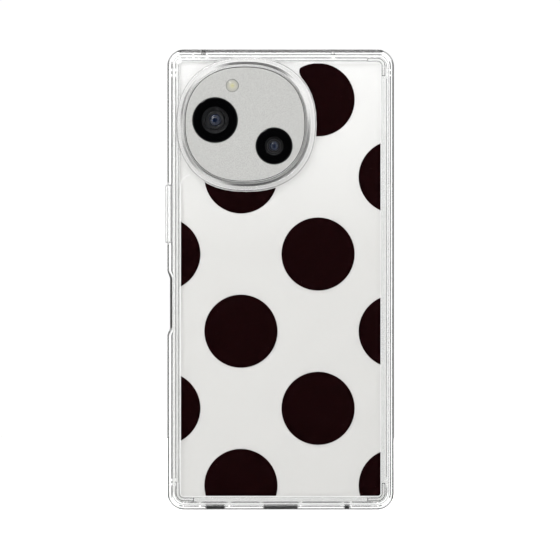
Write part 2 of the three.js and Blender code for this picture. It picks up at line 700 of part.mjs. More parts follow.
function batteryPack() {
  const { width, height, corner, x, z, back, front, edge } = BATTERY;
  return slab(roundedRect(width, height, corner, x, z), back, front, edge);
}

function makePhone() {
  const phone = new THREE.Group();
  add(phone, "mid_frame", MATERIAL.frameMetal, midFrame());
  add(phone, "rear_cover", MATERIAL.backWhite, rearCover());
  add(phone, "display_glass", MATERIAL.blackGlass, displayGlass());
  add(phone, "display_panel", MATERIAL.blackPlastic, displayPanel());
  add(phone, "vapour_chamber", MATERIAL.copper, block(VAPOUR_CHAMBER));
  addKeys(phone);
  phone.add(makeCamera());
  add(phone, "front_camera", MATERIAL.blackPlastic, frontCamera(), FRONT_CAMERA.x, 0, FRONT_CAMERA.z);
  add(phone, "earpiece", MATERIAL.blackPlastic, block(EARPIECE));
  add(phone, "main_board", MATERIAL.board, mainBoard());
  add(phone, "main_shield_can", MATERIAL.can, block(MAIN_CAN));
  add(phone, "power_shield_can", MATERIAL.can, block(POWER_CAN));
  add(phone, "upper_bracket", MATERIAL.blackPlastic, upperBracket());
  add(phone, "nfc_coil", MATERIAL.copper, nfcCoil());
  add(phone, "sim_tray", MATERIAL.frameMetal, simTray());
  add(phone, "sim_connector", MATERIAL.can, simConnector());
  add(phone, "battery", MATERIAL.battery, batteryPack());
  add(phone, "board_flex", MATERIAL.flex, block(FLEX));
  add(phone, "sub_board", MATERIAL.board, subBoard());
  add(phone, "usb_receptacle", MATERIAL.steel, usbReceptacle());
  add(phone, "speaker_box", MATERIAL.blackPlastic, speakerBox());
  add(phone, "haptic_housing", MATERIAL.steel, hapticHousing(), HAPTIC.x, 0, HAPTIC.z);
  add(phone, "haptic_mass", MATERIAL.steel, block(HAPTIC_MASS), HAPTIC.x, 0, HAPTIC.z);
  addScrews(phone);
  return phone;
}

const group = new THREE.Group();
group.add(makeCase(), makePhone());

export default group;
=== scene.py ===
"""Looks for a smartphone in a clear dotted bumper case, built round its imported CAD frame.

Shapes are worked out in millimetres in the frame's own axes, and turned to metres when a mesh is made. Seen
from behind, +X runs right and +Z up. The printed back and the cameras face -Y, and the display faces +Y.
"""

import json
import math

import bmesh
import bpy
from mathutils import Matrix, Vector


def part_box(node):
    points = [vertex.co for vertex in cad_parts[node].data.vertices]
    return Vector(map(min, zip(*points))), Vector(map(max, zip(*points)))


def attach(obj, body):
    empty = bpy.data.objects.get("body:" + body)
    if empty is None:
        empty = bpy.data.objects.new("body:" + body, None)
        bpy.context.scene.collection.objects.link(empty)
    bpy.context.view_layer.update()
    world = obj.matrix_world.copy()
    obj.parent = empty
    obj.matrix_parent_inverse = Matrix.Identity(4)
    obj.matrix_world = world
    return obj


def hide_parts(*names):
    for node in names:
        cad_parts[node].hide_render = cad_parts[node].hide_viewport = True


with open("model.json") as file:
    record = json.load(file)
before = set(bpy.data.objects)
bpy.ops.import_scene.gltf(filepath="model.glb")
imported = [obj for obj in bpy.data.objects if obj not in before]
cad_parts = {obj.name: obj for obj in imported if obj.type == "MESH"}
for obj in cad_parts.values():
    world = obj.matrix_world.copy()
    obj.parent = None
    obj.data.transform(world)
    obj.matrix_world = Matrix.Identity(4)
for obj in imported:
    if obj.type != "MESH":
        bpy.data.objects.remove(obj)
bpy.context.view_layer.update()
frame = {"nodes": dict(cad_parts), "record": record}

MM = 0.001


def box_of(node):
    """A CAD node's lowest and highest corners, in millimetres."""
    low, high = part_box(node)
    return low / MM, high / MM


def middle(node):
    low, high = box_of(node)
    return (low + high) / 2


BUMPER_LOW, BUMPER_HIGH = box_of("case_bumper")
PLATE_LOW, PLATE_HIGH = box_of("case_back_plate")
FRAME_LOW, FRAME_HIGH = box_of("mid_frame")
COVER_LOW, COVER_HIGH = box_of("rear_cover")
ISLAND_LOW, ISLAND_HIGH = box_of("camera_island")
GLASS_LOW, GLASS_HIGH = box_of("display_glass")
PAD_LOW, PAD_HIGH = box_of("case_volume_cover")
POWER_LOW, POWER_HIGH = box_of("power_key")
VOLUME_LOW, VOLUME_HIGH = box_of("volume_key")
SOCKET_LOW, SOCKET_HIGH = box_of("usb_receptacle")
SIM_LOW, SIM_HIGH = box_of("sim_tray")

MID_Z = (BUMPER_LOW.z + BUMPER_HIGH.z) / 2
KEY_Y = middle("power_key").y
RIM_Y = BUMPER_LOW.y
LIP_Y = BUMPER_HIGH.y
RING_TOP = PLATE_LOW.y
PLATE_Y = RIM_Y + 0.3  # outside of the flat back plate
PLATE_FRONT = PLATE_Y + 1.15  # inside of the back plate
CASE_CORNER = 5.8
PHONE_CORNER = 5.2
RIM_WIDTH = 4.45  # bumper rim seen from behind
CAVITY = 1.85  # bumper wall beside the phone
ISLAND_POWER = 2.3  # between an ellipse, at 2, and a rectangle
FLANGE = 1.1  # the island's hidden foot
RING_FIT = 0.3  # from the island to the ring's inner face
RING_WIDTH = 3.0  # from the island to the ring's outer face
RING_SHIFT = 0.45  # the ring's outer face sits this far to the right of the island

ISLAND_X = (ISLAND_LOW.x + ISLAND_HIGH.x) / 2
ISLAND_Z = (ISLAND_LOW.z + ISLAND_HIGH.z) / 2
ISLAND_A = (ISLAND_HIGH.x - ISLAND_LOW.x) / 2 - FLANGE
ISLAND_B = (ISLAND_HIGH.z - ISLAND_LOW.z) / 2 - FLANGE


# -------- outlines


def arc(x, z, radius, start, end, steps):
    """Points on an arc with their outward normals. Angles are in degrees."""
    made = []
    for i in range(steps + 1):
        angle = math.radians(start + (end - start) * i / steps)
        normal = Vector((math.cos(angle), math.sin(angle)))
        made.append((Vector((x, z)) + radius * normal, normal))
    return made


def rounded_rect(width, height, radius, x=0, z=0, corner_steps=10, spacing=(60, 60, 60, 60)):
    """A closed rounded rectangle as (point, outward normal) pairs.

    spacing holds the longest step along the top, left, bottom and right sides.
    """
    w, h = width / 2 - radius, height / 2 - radius
    corners = [(x + w, z + h), (x - w, z + h), (x - w, z - h), (x + w, z - h)]
    made = []
    for turn, (cx, cz) in enumerate(corners):
        corner = arc(cx, cz, radius, 90 * turn, 90 * turn + 90, corner_steps)
        made += corner
        start, normal = corner[-1]
        nx, nz = corners[(turn + 1) % 4]
        end = Vector((nx, nz)) + radius * normal
        steps = math.ceil((end - start).length / spacing[turn])
        made += [(start.lerp(end, i / steps), normal) for i in range(1, steps)]
    return made


def superellipse(grow, x, z, steps=160):
    """The camera island's outline, grown outwards by grow, as points."""
    made = []
    for i in range(steps):
        angle = 2 * math.pi * i / steps
        c, s = math.cos(angle), math.sin(angle)
        u = math.copysign(abs(c) ** (2 / ISLAND_POWER), c)
        v = math.copysign(abs(s) ** (2 / ISLAND_POWER), s)
        made.append(Vector((x + (ISLAND_A + grow) * u, z + (ISLAND_B + grow) * v)))
    return made


def circle(x, z, radius, steps=96):
    return [point for point, normal in arc(x, z, radius, 0, 360, steps)[:-1]]


def inset(outline, distance):
    """The points of an outline of (point, normal) pairs, moved inwards."""
    return [point - distance * normal for point, normal in outline]


def at_depth(points, y):
    """Outline points in XZ, placed at a depth along Y."""
    return [Vector((p.x, y, p.y)) for p in points]


def fillet(u, y, radius, start, end, steps=5):
    """Profile points (u, y) round a centre, from one angle to another in degrees."""
    made = []
    for i in range(steps + 1):
        angle = math.radians(start + (end - start) * i / steps)
        made.append((u + radius * math.cos(angle), y + radius * math.sin(angle)))
    return made


# -------- meshes


def piece(name, points, faces, smooth_angle=40):
    """A mesh object from points in millimetres."""
    mesh = bpy.data.meshes.new(name)
    mesh.from_pydata([Vector(p) * MM for p in points], [], faces)
    work = bmesh.new()
    work.from_mesh(mesh)
    return finished(name, work, mesh, smooth_angle)


def finished(name, work, mesh, smooth_angle=40):
    """An object whose mesh comes from a bmesh, with its normals out."""
    bmesh.ops.recalc_face_normals(work, faces=work.faces)
    work.to_mesh(mesh)
    work.free()
    made = bpy.data.objects.new(name, mesh)
    bpy.context.scene.collection.objects.link(made)
    return soften(made, smooth_angle)


def soften(made, angle=40):
    """Smooth shading, with creases sharper than angle kept and faces square to an axis left truly flat."""
    made.data.shade_smooth()
    made.data.set_sharp_from_angle(angle=math.radians(angle))
    for face in made.data.polygons:
        face.use_smooth = max(abs(part) for part in face.normal) < 0.99999
    return made


def loft(name, loops, ring=False, smooth_angle=40):
    """A closed skin over loops of equally many points. A ring joins last to first, all else is capped."""
    count = len(loops[0])
    points = [p for loop in loops for p in loop]
    faces = []
    spans = len(loops) if ring else len(loops) - 1
    for row in range(spans):
        a, b = row * count, (row + 1) % len(loops) * count
        for i in range(count):
            j = (i + 1) % count
            faces.append((a + i, a + j, b + j, b + i))
    if not ring:
        faces.append(tuple(range(count)))
        faces.append(tuple(range(len(points) - count, len(points))))
    return piece(name, points, faces, smooth_angle)


def band(name, outline, profile, shape=None, smooth_angle=40):
    """A closed profile of (inset, y) points carried round an outline of (point, normal) pairs.

    shape, if given, turns (point, normal, inset, y) into the inset and y that the profile has there.
    """
    loops = []
    for u, y in profile:
        loop = []
        for point, normal in outline:
            inset_here, y_here = shape(point, normal, u, y) if shape else (u, y)
            flat = point - inset_here * normal
            loop.append(Vector((flat.x, y_here, flat.y)))
        loops.append(loop)
    return loft(name, loops, ring=True, smooth_angle=smooth_angle)


def slab(name, outline, profile, smooth_angle=40):
    """A solid plate: an outline of (point, normal) pairs at each (inset, y) of the profile, capped."""
    return loft(name, [at_depth(inset(outline, u), y) for u, y in profile], smooth_angle=smooth_angle)


def turned(name, x, z, profile, steps=96, ring=False, smooth_angle=40):
    """A turned form about an axis along Y through (x, z). The profile holds (radius, y) points."""
    loops = [at_depth(circle(x, z, radius, steps), y) for radius, y in profile]
    return loft(name, loops, ring=ring, smooth_angle=smooth_angle)


def block(name, low, high, radius=0.0, segments=3):
    """A box between two corners in millimetres, with its edges rounded."""
    mesh = bpy.data.meshes.new(name)
    work = bmesh.new()
    bmesh.ops.create_cube(work, size=1)
    for v in work.verts:
        share = v.co + Vector((0.5, 0.5, 0.5))
        v.co = Vector([(lo + (hi - lo) * s) * MM for lo, hi, s in zip(low, high, share)])
    if radius:
        edges = list(work.edges)
        bmesh.ops.bevel(work, geom=edges, offset=radius * MM, segments=segments, profile=0.5, affect="EDGES")
    return finished(name, work, mesh)


def carve(made, *cutters, smooth_angle=40):
    """Cuts each cutter out of a piece and removes the cutter."""
    for cutter in cutters:
        modifier = made.modifiers.new("cut", "BOOLEAN")
        modifier.operation = "DIFFERENCE"
        modifier.solver = "MANIFOLD"
        modifier.object = cutter
        graph = bpy.context.evaluated_depsgraph_get()
        cut = bpy.data.meshes.new_from_object(made.evaluated_get(graph))
        made.modifiers.clear()
        old, made.data = made.data, cut
        bpy.data.meshes.remove(old)
        spent = cutter.data
        bpy.data.objects.remove(cutter)
        bpy.data.meshes.remove(spent)
    made.data.name = made.name
    return soften(made, smooth_angle)


# -------- materials


def principled(name, color, roughness, **more):
    """A Principled material. Keywords name its other sockets, with _ for a space."""
    made = bpy.data.materials.new(name)
    made.use_nodes = True
    shader = shader_of(made)
    shader.inputs["Base Color"].default_value = (*color, 1)
    shader.inputs["Roughness"].default_value = roughness
    for socket, value in more.items():
        shader.inputs[socket.replace("_", " ")].default_value = value
    return made


def shader_of(material):
    return material.node_tree.nodes["Principled BSDF"]


def grey(tone):
    return (tone, tone, tone)


def add_node(owner, kind, **values):
    """A new node in a material or world, with its input sockets set from keywords (_ for a space)."""
    node = owner.node_tree.nodes.new(kind)
    for socket, value in values.items():
        node.inputs[socket.replace("_", " ")].default_value = value
    return node


def remap(owner, value, low, high, to_low=0.0, to_high=1.0):
    """A socket that carries value, stretched from low..high to to_low..to_high and kept between them."""
    ends = {"From_Min": low, "From_Max": high, "To_Min": to_low, "To_Max": to_high}
    node = add_node(owner, "ShaderNodeMapRange", **ends)
    owner.node_tree.links.new(value, node.inputs["Value"])
    return node.outputs["Result"]


def maths(owner, kind, operation, value, other, output="Value"):
    """A socket with what a maths node makes of a socket and a fixed value."""
    node = add_node(owner, kind)
    node.operation = operation
    node.inputs[1].default_value = other
    owner.node_tree.links.new(value, node.inputs[0])
    return node.outputs[output]


def tone_scale(owner, value, stops):
    """A colour socket that follows value through stops of (value, colour)."""
    node = add_node(owner, "ShaderNodeValToRGB")
    elements = node.color_ramp.elements
    while len(elements) < len(stops):
        elements.new(0.5)
    for element, (position, color) in zip(elements, stops):
        element.position = position
        element.color = (*color, 1)
    owner.node_tree.links.new(value, node.inputs["Fac"])
    return node.outputs["Color"]


def unlike_for(owner, ray, usual, other, output):
    """Sends one shader to the output, but another for rays of one kind."""
    nodes, links = owner.node_tree.nodes, owner.node_tree.links
    path = add_node(owner, "ShaderNodeLightPath")
    mix = add_node(owner, "ShaderNodeMixShader")
    links.new(path.outputs[ray], mix.inputs["Fac"])
    links.new(usual, mix.inputs[1])
    links.new(other, mix.inputs[2])
    links.new(mix.outputs["Shader"], nodes[output].inputs["Surface"])


def object_axis(material, axis):
    """A socket with the place along one axis of the piece, in metres."""
    place = add_node(material, "ShaderNodeTexCoord")
    split = add_node(material, "ShaderNodeSeparateXYZ")
    material.node_tree.links.new(place.outputs["Object"], split.inputs["Vector"])
    return split.outputs[axis]


NOISE_LOW = 0.3  # a noise texture seldom leaves the range between these two
NOISE_HIGH = 0.7


def noise(material, size, detail=2.0):
    """A noise texture in object space whose features are about size millimetres across."""
    place = add_node(material, "ShaderNodeTexCoord")
    node = add_node(material, "ShaderNodeTexNoise", Scale=1 / (size * MM), Detail=detail)
    material.node_tree.links.new(place.outputs["Object"], node.inputs["Vector"])
    return node.outputs["Fac"]


def two_tone(material, share, low, high):
    """Base colour between low and high, as the share socket says."""
    links = material.node_tree.links
    mix = add_node(material, "ShaderNodeMix")
    mix.data_type = "RGBA"
    mix.inputs["A"].default_value = (*low, 1)
    mix.inputs["B"].default_value = (*high, 1)
    links.new(share, mix.inputs["Factor"])
    links.new(mix.outputs["Result"], shader_of(material).inputs["Base Color"])
    return mix


def mottled(name, low, high, size, roughness=0.5, detail=2.0, **more):
    """A material whose colour wanders between low and high, in features of size millimetres."""
    made = principled(name, low, roughness, **more)
    two_tone(made, remap(made, noise(made, size, detail), NOISE_LOW, NOISE_HIGH), low, high)
    return made


def uneven_gloss(material, low, high, size, detail=3.0):
    """Roughness that wanders between two values."""
    roughness = remap(material, noise(material, size, detail), NOISE_LOW, NOISE_HIGH, low, high)
    material.node_tree.links.new(roughness, shader_of(material).inputs["Roughness"])
    return material


def bumpy(material, size, height):
    """Fine relief: features of size millimetres, height millimetres deep."""
    links = material.node_tree.links
    relief = add_node(material, "ShaderNodeBump", Strength=1.0, Distance=height * MM)
    links.new(noise(material, size), relief.inputs["Height"])
    links.new(relief.outputs["Normal"], shader_of(material).inputs["Normal"])
    return material


def fade_up(material, bottom, top, low_z, high_z):
    """Base colour that runs from bottom to top between two heights in millimetres, used as painted light that
    brightens a surface upwards.
    """
    two_tone(material, remap(material, object_axis(material, "Z"), low_z * MM, high_z * MM), bottom, top)
    return material


def lets_lamps_through(material):
    """Clear plastic that casts no dark shadow on what it covers."""
    solid = shader_of(material).outputs["BSDF"]
    gap = add_node(material, "ShaderNodeBsdfTransparent").outputs["BSDF"]
    unlike_for(material, "Is Shadow Ray", solid, gap, "Material Output")
    return material


EDGE_SHADE_START = 0.25  # how far a surface is turned from the eye where its painted edge shade begins to deepen
EDGE_SHADE_END = 0.62  # and where it is deepest


def clear(name, color, ior, edge, milk=0.0):
    """Clear plastic with painted shade: its colour darkens towards edge grey where a surface turns away from
    the eye.

    milk is the share of light that the plastic scatters instead of letting it through.
    """
    made = principled(name, color, 0.03, IOR=ior, Transmission_Weight=1 - milk)
    turn = add_node(made, "ShaderNodeLayerWeight", Blend=0.5)
    # Painted shade: the colour darkens as the surface turns away from the eye, drawing the dark lines of
    # steep clear walls.
    edge_shade = tone_scale(made, turn.outputs["Facing"], ((EDGE_SHADE_START, color), (EDGE_SHADE_END, grey(edge))))
    made.node_tree.links.new(edge_shade, shader_of(made).inputs["Base Color"])
    return lets_lamps_through(made)


def calm_walls(material, tone, low_y, high_y):
    """Keeps the painted edge shade of clear plastic off the plain walls between two depths in millimetres,
    where the colour is a flat tone instead.
    """
    edge_shade = shader_of(material).inputs["Base Color"].links[0].from_socket
    centre, half = (low_y + high_y) / 2 * MM, (high_y - low_y) / 2 * MM
    offset = maths(material, "ShaderNodeMath", "SUBTRACT", object_axis(material, "Y"), centre)
    away = maths(material, "ShaderNodeMath", "ABSOLUTE", offset, 0)
    on_wall = remap(material, away, half, half + 0.2 * MM, 1, 0)
    mix = two_tone(material, on_wall, grey(tone), grey(tone))
    material.node_tree.links.new(edge_shade, mix.inputs["A"])
    return material


def clear_rubber(name):
    """The bumper's soft plastic, a little milky, with painted shade that darkens it where it leans away from
    the eye.
    """
    return uneven_gloss(clear(name, (0.985, 0.99, 0.985), 1.46, 0.0, 0.15), 0.0, 0.02, 9)


CLEAR_RUBBER = calm_walls(clear_rubber("clear_rubber"), 0.85, -2.1, 5.2)
CLEAR_PAD = clear_rubber("clear_pad")
CLEAR_PLATE = uneven_gloss(clear("clear_plate", (0.95, 0.95, 0.945), 1.3, 0.8), 0.0, 0.012, 14)
# Painted highlight: the ring's copy of the plate plastic is whiter and milkier, standing for the highlight on
# its crown.
HIGHLIGHTED_RING = uneven_gloss(clear("clear_ring_highlighted", (0.995, 0.995, 0.99), 1.45, 0.02, 0.08), 0.0, 0.012, 14)
LENS_COVER = uneven_gloss(clear("lens_cover", (0.97, 0.98, 1.0), 1.4, 0.5), 0.0, 0.01, 3)
# Painted highlight: a pale strip for the light line along the printed film's edge.
FILM_EDGE_HIGHLIGHT = mottled("film_edge_highlight", grey(0.8), grey(0.84), 2, 0.4)
# Painted shade: dark grey for the liners inside the end windows, standing for the dark seen through them.
PORT_SHADE = mottled("port_shade", grey(0.035), grey(0.05), 0.4, 0.6)

INK = mottled("dot_ink", (0.006, 0.0008, 0.001), (0.008, 0.001, 0.0015), 0.6, Specular_IOR_Level=0.02)
uneven_gloss(INK, 0.42, 0.55, 0.5)
BACK_WHITE = principled("rear_cover", (0.75, 0.75, 0.73), 0.42, IOR=1.45)
# Painted light: the rear cover's white is lighter towards the top, standing for more light falling from
# above.
bumpy(fade_up(BACK_WHITE, (0.68, 0.676, 0.664), (0.83, 0.83, 0.826), 90, 160), 0.12, 0.002)
FRAME_METAL = mottled("frame_metal", (0.68, 0.68, 0.67), (0.74, 0.74, 0.73), 0.2, 0.32, Metallic=1.0)
bumpy(FRAME_METAL, 0.1, 0.002)
PANEL = mottled("camera_panel", (0.29, 0.29, 0.28), (0.45, 0.45, 0.436), 0.3, 0.45, 5, Metallic=0.25)
BLACK_GLASS = uneven_gloss(principled("black_glass", (0.0008, 0.0008, 0.001), 0.04, IOR=1.5), 0.03, 0.06, 5)
BLACK_PLASTIC = mottled("black_plastic", (0.006, 0.006, 0.007), (0.012, 0.012, 0.013), 0.2)
BAFFLE_OUTER = mottled("baffle_outer", grey(0.01), grey(0.014), 0.2, 0.45, Specular_IOR_Level=0.1)
BAFFLE_INNER = mottled("baffle_inner", grey(0.018), grey(0.024), 0.2, 0.4, Specular_IOR_Level=0.1)
LENS_GLASS = uneven_gloss(principled("lens_glass", (0.002, 0.005, 0.016), 0.04, IOR=1.5), 0.03, 0.06, 1)
STEEL = mottled("steel", (0.45, 0.46, 0.47), (0.55, 0.56, 0.57), 0.3, 0.3, Metallic=1.0)
COPPER = mottled("copper", (0.66, 0.38, 0.22), (0.75, 0.46, 0.29), 1.5, 0.35, Metallic=1.0)
BOARD = mottled("circuit_board", (0.022, 0.1, 0.06), (0.035, 0.15, 0.09), 1.2, 0.45)
CAN = mottled("shield_can", (0.56, 0.57, 0.59), (0.64, 0.65, 0.67), 2, 0.28, Metallic=1.0)
WRAP = mottled("battery_wrap", (0.04, 0.04, 0.045), (0.06, 0.06, 0.065), 3)
FLEX = mottled("flex_circuit", (0.35, 0.2, 0.07), (0.45, 0.27, 0.1), 0.8, 0.4)
LED = mottled("flash_led", (0.8, 0.66, 0.2), (0.9, 0.75, 0.32), 0.3)

SLOT_MATERIALS = {
    "clear_rubber": CLEAR_RUBBER,
    "clear_plate": CLEAR_PLATE,
    "dot_ink": INK,
    "rear_cover": BACK_WHITE,
    "frame_metal": FRAME_METAL,
    "camera_panel": PANEL,
    "black_glass": BLACK_GLASS,
    "lens_glass": LENS_GLASS,
    "black_plastic": BLACK_PLASTIC,
    "flash_diffuser": LED,
    "flash_led": LED,
    "circuit_board": BOARD,
    "shield_can": CAN,
    "copper": COPPER,
    "battery_wrap": WRAP,
    "flex_circuit": FLEX,
    "steel": STEEL,
}


def dress_nodes():
    """Gives each carried-over CAD node its slot's material."""
    for part in frame["record"]["subparts"]:
        node = frame["nodes"][part["node"]]
        node.data.materials.clear()
        node.data.materials.append(SLOT_MATERIALS[part["material_slot"]])


def place(made, material, body, slot, *nodes):
    """Paints a piece, rides it on a body, and hides the CAD nodes that it stands for. Its slot is not used.
    """
    made.data.materials.clear()
    made.data.materials.append(material)
    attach(made, body)
    if nodes:
        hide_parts(*nodes)
    return made


# -------- case

CASE_WIDTH = BUMPER_HIGH.x - BUMPER_LOW.x
CASE_HEIGHT = BUMPER_HIGH.z - BUMPER_LOW.z
WALL_FRONT = 3.2  # Y where the outer wall begins to round over to the front lip
GROOVES = (1.35, 2.75, 3.72)  # insets of the three lines round the rim
GROOVE_HALF = 0.2
GROOVE_DEPTH = 0.55
DRAFT_TOP = -2.4  # Y where the outer wall begins to lean in towards its back edge
DRAFT_START = 0.04  # the section's own inset there
DRAFT_END = 0.36  # and at the end of the lean, before each side's own lean is added
PUSH_END = 2.4  # inset where the lean and the thumb scoop no longer move the section
PAD_DRAFT = 0.12  # the lean beside the volume pad
PAD_WIDTH = 4.7  # along Y
# What each side of the bumper has of its own: the lean of its back edge, how far its grooves move inwards,
# and each groove's share of the full depth.
SIDES = {
    "left": {"draft": 0.46, "shift": 0.25, "grooves": (0.85, 0.62, 0.55)},
    "right": {"draft": 0.5, "shift": -0.1, "grooves": (1.6, 0.5, 0.3)},
    "top": {"draft": 1.02, "shift": 0.28, "grooves": (1.2, 0.7, 0.6)},
    "bottom": {"draft": 0.42, "shift": 0.0, "grooves": (0.9, 0.7, 0.25)},
}
CORNER = {"draft": 0.35, "grooves": (0.0, 0.35, 0.3)}
KEY_SIDE = -0.99  # a normal whose X is below this is on the key side
RIPPLE_PITCH = 1.15
RIPPLE_DEPTH = 0.09
# The thumb scoop over the power key: half its flat length, its ramps, its depth, and how much more it leans.
SCOOP = {"flat": 8.3, "ramp": 3.2, "depth": 0.95, "draft": 0.3}
# Studs that fill the two outer grooves: Z on the sides, X on the ends.
SIDE_STUDS = (8.9, 10.5, 151.3, 153.2)
BOTTOM_STUDS = (-34.1, -32.4, -28.1, -18.0, -6.8, 7.0, 21.7, 24.3, 32.4, 34.1)
TOP_STUDS = (-32.5, -30.5, -28.3, -25.7, 18.3, 30.8, 33.0)
STUD_HALF = 0.4
# The L-shaped corner pockets: how far they run along each side, and the insets between which they lie at
# their mouth and at their floor.
POCKET_REACH = 9.8
POCKET_MOUTH = (3.02, 4.3)
POCKET_FLOOR = (3.3, 4.05)
POCKET_DEPTH = 0.6
# The camera ring's slanted inner wall: its least depth, and where it runs deeper, as the angle round the
# ring, half the width in degrees, and how much deeper.
RING_LEAST = 0.5
RING_DEEPER = ((80, 32, 1.9), (303, 50, 1.4), (160, 20, 0.9), (210, 18, 0.8), (0, 12, 0.8))
FILM = {
    "left": -34.9,
    "right": 35.0,
    "low": 4.67,
    "high": 155.73,
    "corner": 1.0,
    "shoulder": 4.0,
    "shoulder_z": 112.8,
    "start": 17,  # from the island's middle to where the edge comes out from under the ring
    "width": 0.18,
    "thickness": 0.03,
}
# Windows through the end walls: where they are, half their width and depth, their flare at the outside, and
# whether a dark liner of painted shade sits inside them, for the dark seen through the opening.
LOWER_WINDOWS = (
    {"x": 0, "half": 5.9, "half_depth": 3.2, "flare": 0.8, "rim": True},
    {"x": -22.8, "half": 3.3, "half_depth": 2.1, "flare": 0.8, "rim": True},
    {"x": 23.2, "half": 0.9, "half_depth": 0.85, "flare": 1.0, "rim": True},
)
UPPER_WINDOWS = (
    {"x": 18.2, "half": 0.8, "half_depth": 0.85, "flare": 0.9, "rim": False},
    {"x": -26.9, "half": 0.9, "half_depth": 0.85, "flare": 1.0, "rim": True},
)
PORT_SHADE_ENDS = (0.35, 1.7)  # where the painted-shade liners start and end, both from the bumper's end
WINDOW_SLOT_ENDS = (0.33, 1.25)
PAD_HOLE = {"low": PAD_LOW.z - 0.2, "high": PAD_HIGH.z + 0.2, "half_depth": 2.55, "corner": 0.7}
POWER_HOLE = {"low": 62.9, "high": 81.1, "half_depth": 3.3, "corner": 1.2}


def ramp(value, low, high):
    """0 below low, 1 above high, and smooth between."""
    t = min(max((value - low) / (high - low), 0), 1)
    return t * t * (3 - 2 * t)


def side_of(normal):
    """The bumper side that a place with this outward normal belongs to."""
    if abs(normal.x) > abs(normal.y):
        return SIDES["right"] if normal.x > 0 else SIDES["left"]
    return SIDES["top"] if normal.y > 0 else SIDES["bottom"]


def straight(normal):
    """1 on the straight sides, falling to 0 round the corners."""
    return ramp(max(abs(normal.x), abs(normal.y)), 0.9, 1)


def draft(normal):
    """How far the slanted back edge of the outer wall leans in."""
    return CORNER["draft"] + (side_of(normal)["draft"] - CORNER["draft"]) * straight(normal)


def scoop_share(point, normal):
    """1 in the thumb scoop over the power key, 0 away from it."""
    away = abs(point.y - (POWER_LOW.z + POWER_HIGH.z) / 2)
    return (1 - ramp(away, SCOOP["flat"], SCOOP["flat"] + SCOOP["ramp"])) * (normal.x < KEY_SIDE)


def pad_share(point, normal):
    """1 beside the volume pad, 0 away from it."""
    away = abs(point.y - (PAD_LOW.z + PAD_HIGH.z) / 2)
    half = (PAD_HIGH.z - PAD_LOW.z) / 2
    return (1 - ramp(away, half, half + 1)) * (normal.x < KEY_SIDE)


def ripple(point, normal):
    """The fine grip ripple down the key side, which stops for the volume pad."""
    share = (normal.x < KEY_SIDE) * (1 - pad_share(point, normal)) * (1 - scoop_share(point, normal))
    return RIPPLE_DEPTH * share * (0.5 + 0.5 * math.sin(2 * math.pi * point.y / RIPPLE_PITCH))


def groove_share(point, normal, line):
    """The share of its full depth that one of the rim's grooves has: 0 where a stud fills it."""
    if straight(normal) < 0.5:
        return CORNER["grooves"][line]
    full = side_of(normal)["grooves"][line]
    if line == 2:
        return full
    if abs(normal.x) > abs(normal.y):
        studs, here = SIDE_STUDS, point.y
    else:
        studs, here = (TOP_STUDS if normal.y > 0 else BOTTOM_STUDS), point.x
    nearest = min(abs(here - stud) for stud in studs)
    full *= ramp(nearest, STUD_HALF, STUD_HALF + 0.15)
    return full * (1 - scoop_share(point, normal)) if line == 0 else full


def bumper_shape(point, normal, u, y):
    """The bumper's section at one place on its outline."""
    for line, inset_by in enumerate(GROOVES):
        if abs(u - inset_by) <= GROOVE_HALF and y < RIM_Y + GROOVE_DEPTH + 0.1:
            y = RIM_Y + (y - RIM_Y) * groove_share(point, normal, line)
            u += side_of(normal)["shift"] * straight(normal)
            break
    if u > PUSH_END:
        return u, y
    scoop = scoop_share(point, normal)
    beside_pad = pad_share(point, normal)
    lean = draft(normal) * (1 - beside_pad) + PAD_DRAFT * beside_pad + SCOOP["draft"] * scoop - DRAFT_END
    lean *= min(u / DRAFT_END, 1) * (1 - ramp(u, DRAFT_END, PUSH_END)) * (y < DRAFT_TOP + 0.01)
    push = SCOOP["depth"] * scoop * (1 - ramp(u, 1.2, PUSH_END))
    return u + lean + push + ripple(point, normal) * max(0, 1 - u / 0.8), y


def notch(u, y):
    """Profile points of a narrow V groove in the rim."""
    half = GROOVE_HALF * 0.999
    return [(u - half, y), (u, y + GROOVE_DEPTH), (u + half, y)]


def bumper_profile():
    """The bumper's closed section, as (inset, y) points: outer face, back rim, inner face, front lip."""
    back = RIM_Y
    under = COVER_LOW.y - 0.05
    slant = Vector((DRAFT_START, DRAFT_TOP)), Vector((DRAFT_END, back + 0.7))
    return [
        (0, 0),
        (0, DRAFT_TOP + 0.4),
        *(slant[0].lerp(slant[1], share) for share in (0, 0.06, 0.94, 1)),
        *fillet(0.83, back + 0.45, 0.45, 200, 270, 5),
        *(point for inset_by in GROOVES for point in notch(inset_by, back)),
        *fillet(RIM_WIDTH - 0.22, back + 0.22, 0.22, 270, 360, 3),
        (RIM_WIDTH, under),
        (CAVITY + 0.3, under),
        *fillet(CAVITY + 0.3, under + 0.3, 0.3, 270, 180, 3)[1:],
        (CAVITY, LIP_Y - 0.35),
        *fillet(CAVITY - 0.35, LIP_Y - 0.35, 0.35, 0, 90, 4)[1:],
        *fillet(0.65, LIP_Y - 0.65, 0.65, 90, 180, 6),
        (0, WALL_FRONT),
    ]


def end_loop(window, grow, z):
    """A window's outline at one height, grown sideways."""
    half, half_depth = window["half"] + grow, window["half_depth"]
    outline = rounded_rect(2 * half, 2 * half_depth, min(half_depth, 1.2) * 0.9)
    return [Vector((window["x"] + p.x, KEY_Y + p.y, z)) for p, normal in outline]


def end_window(window, edge, inward):
    """A cutter for a window through an end wall, wider at the outside."""
    steps = ((-1, window["flare"]), (0.25, window["flare"]), (1.25, 0), (3.2, 0))
    return loft("end_window", [end_loop(window, grow, edge + inward * step) for step, grow in steps])


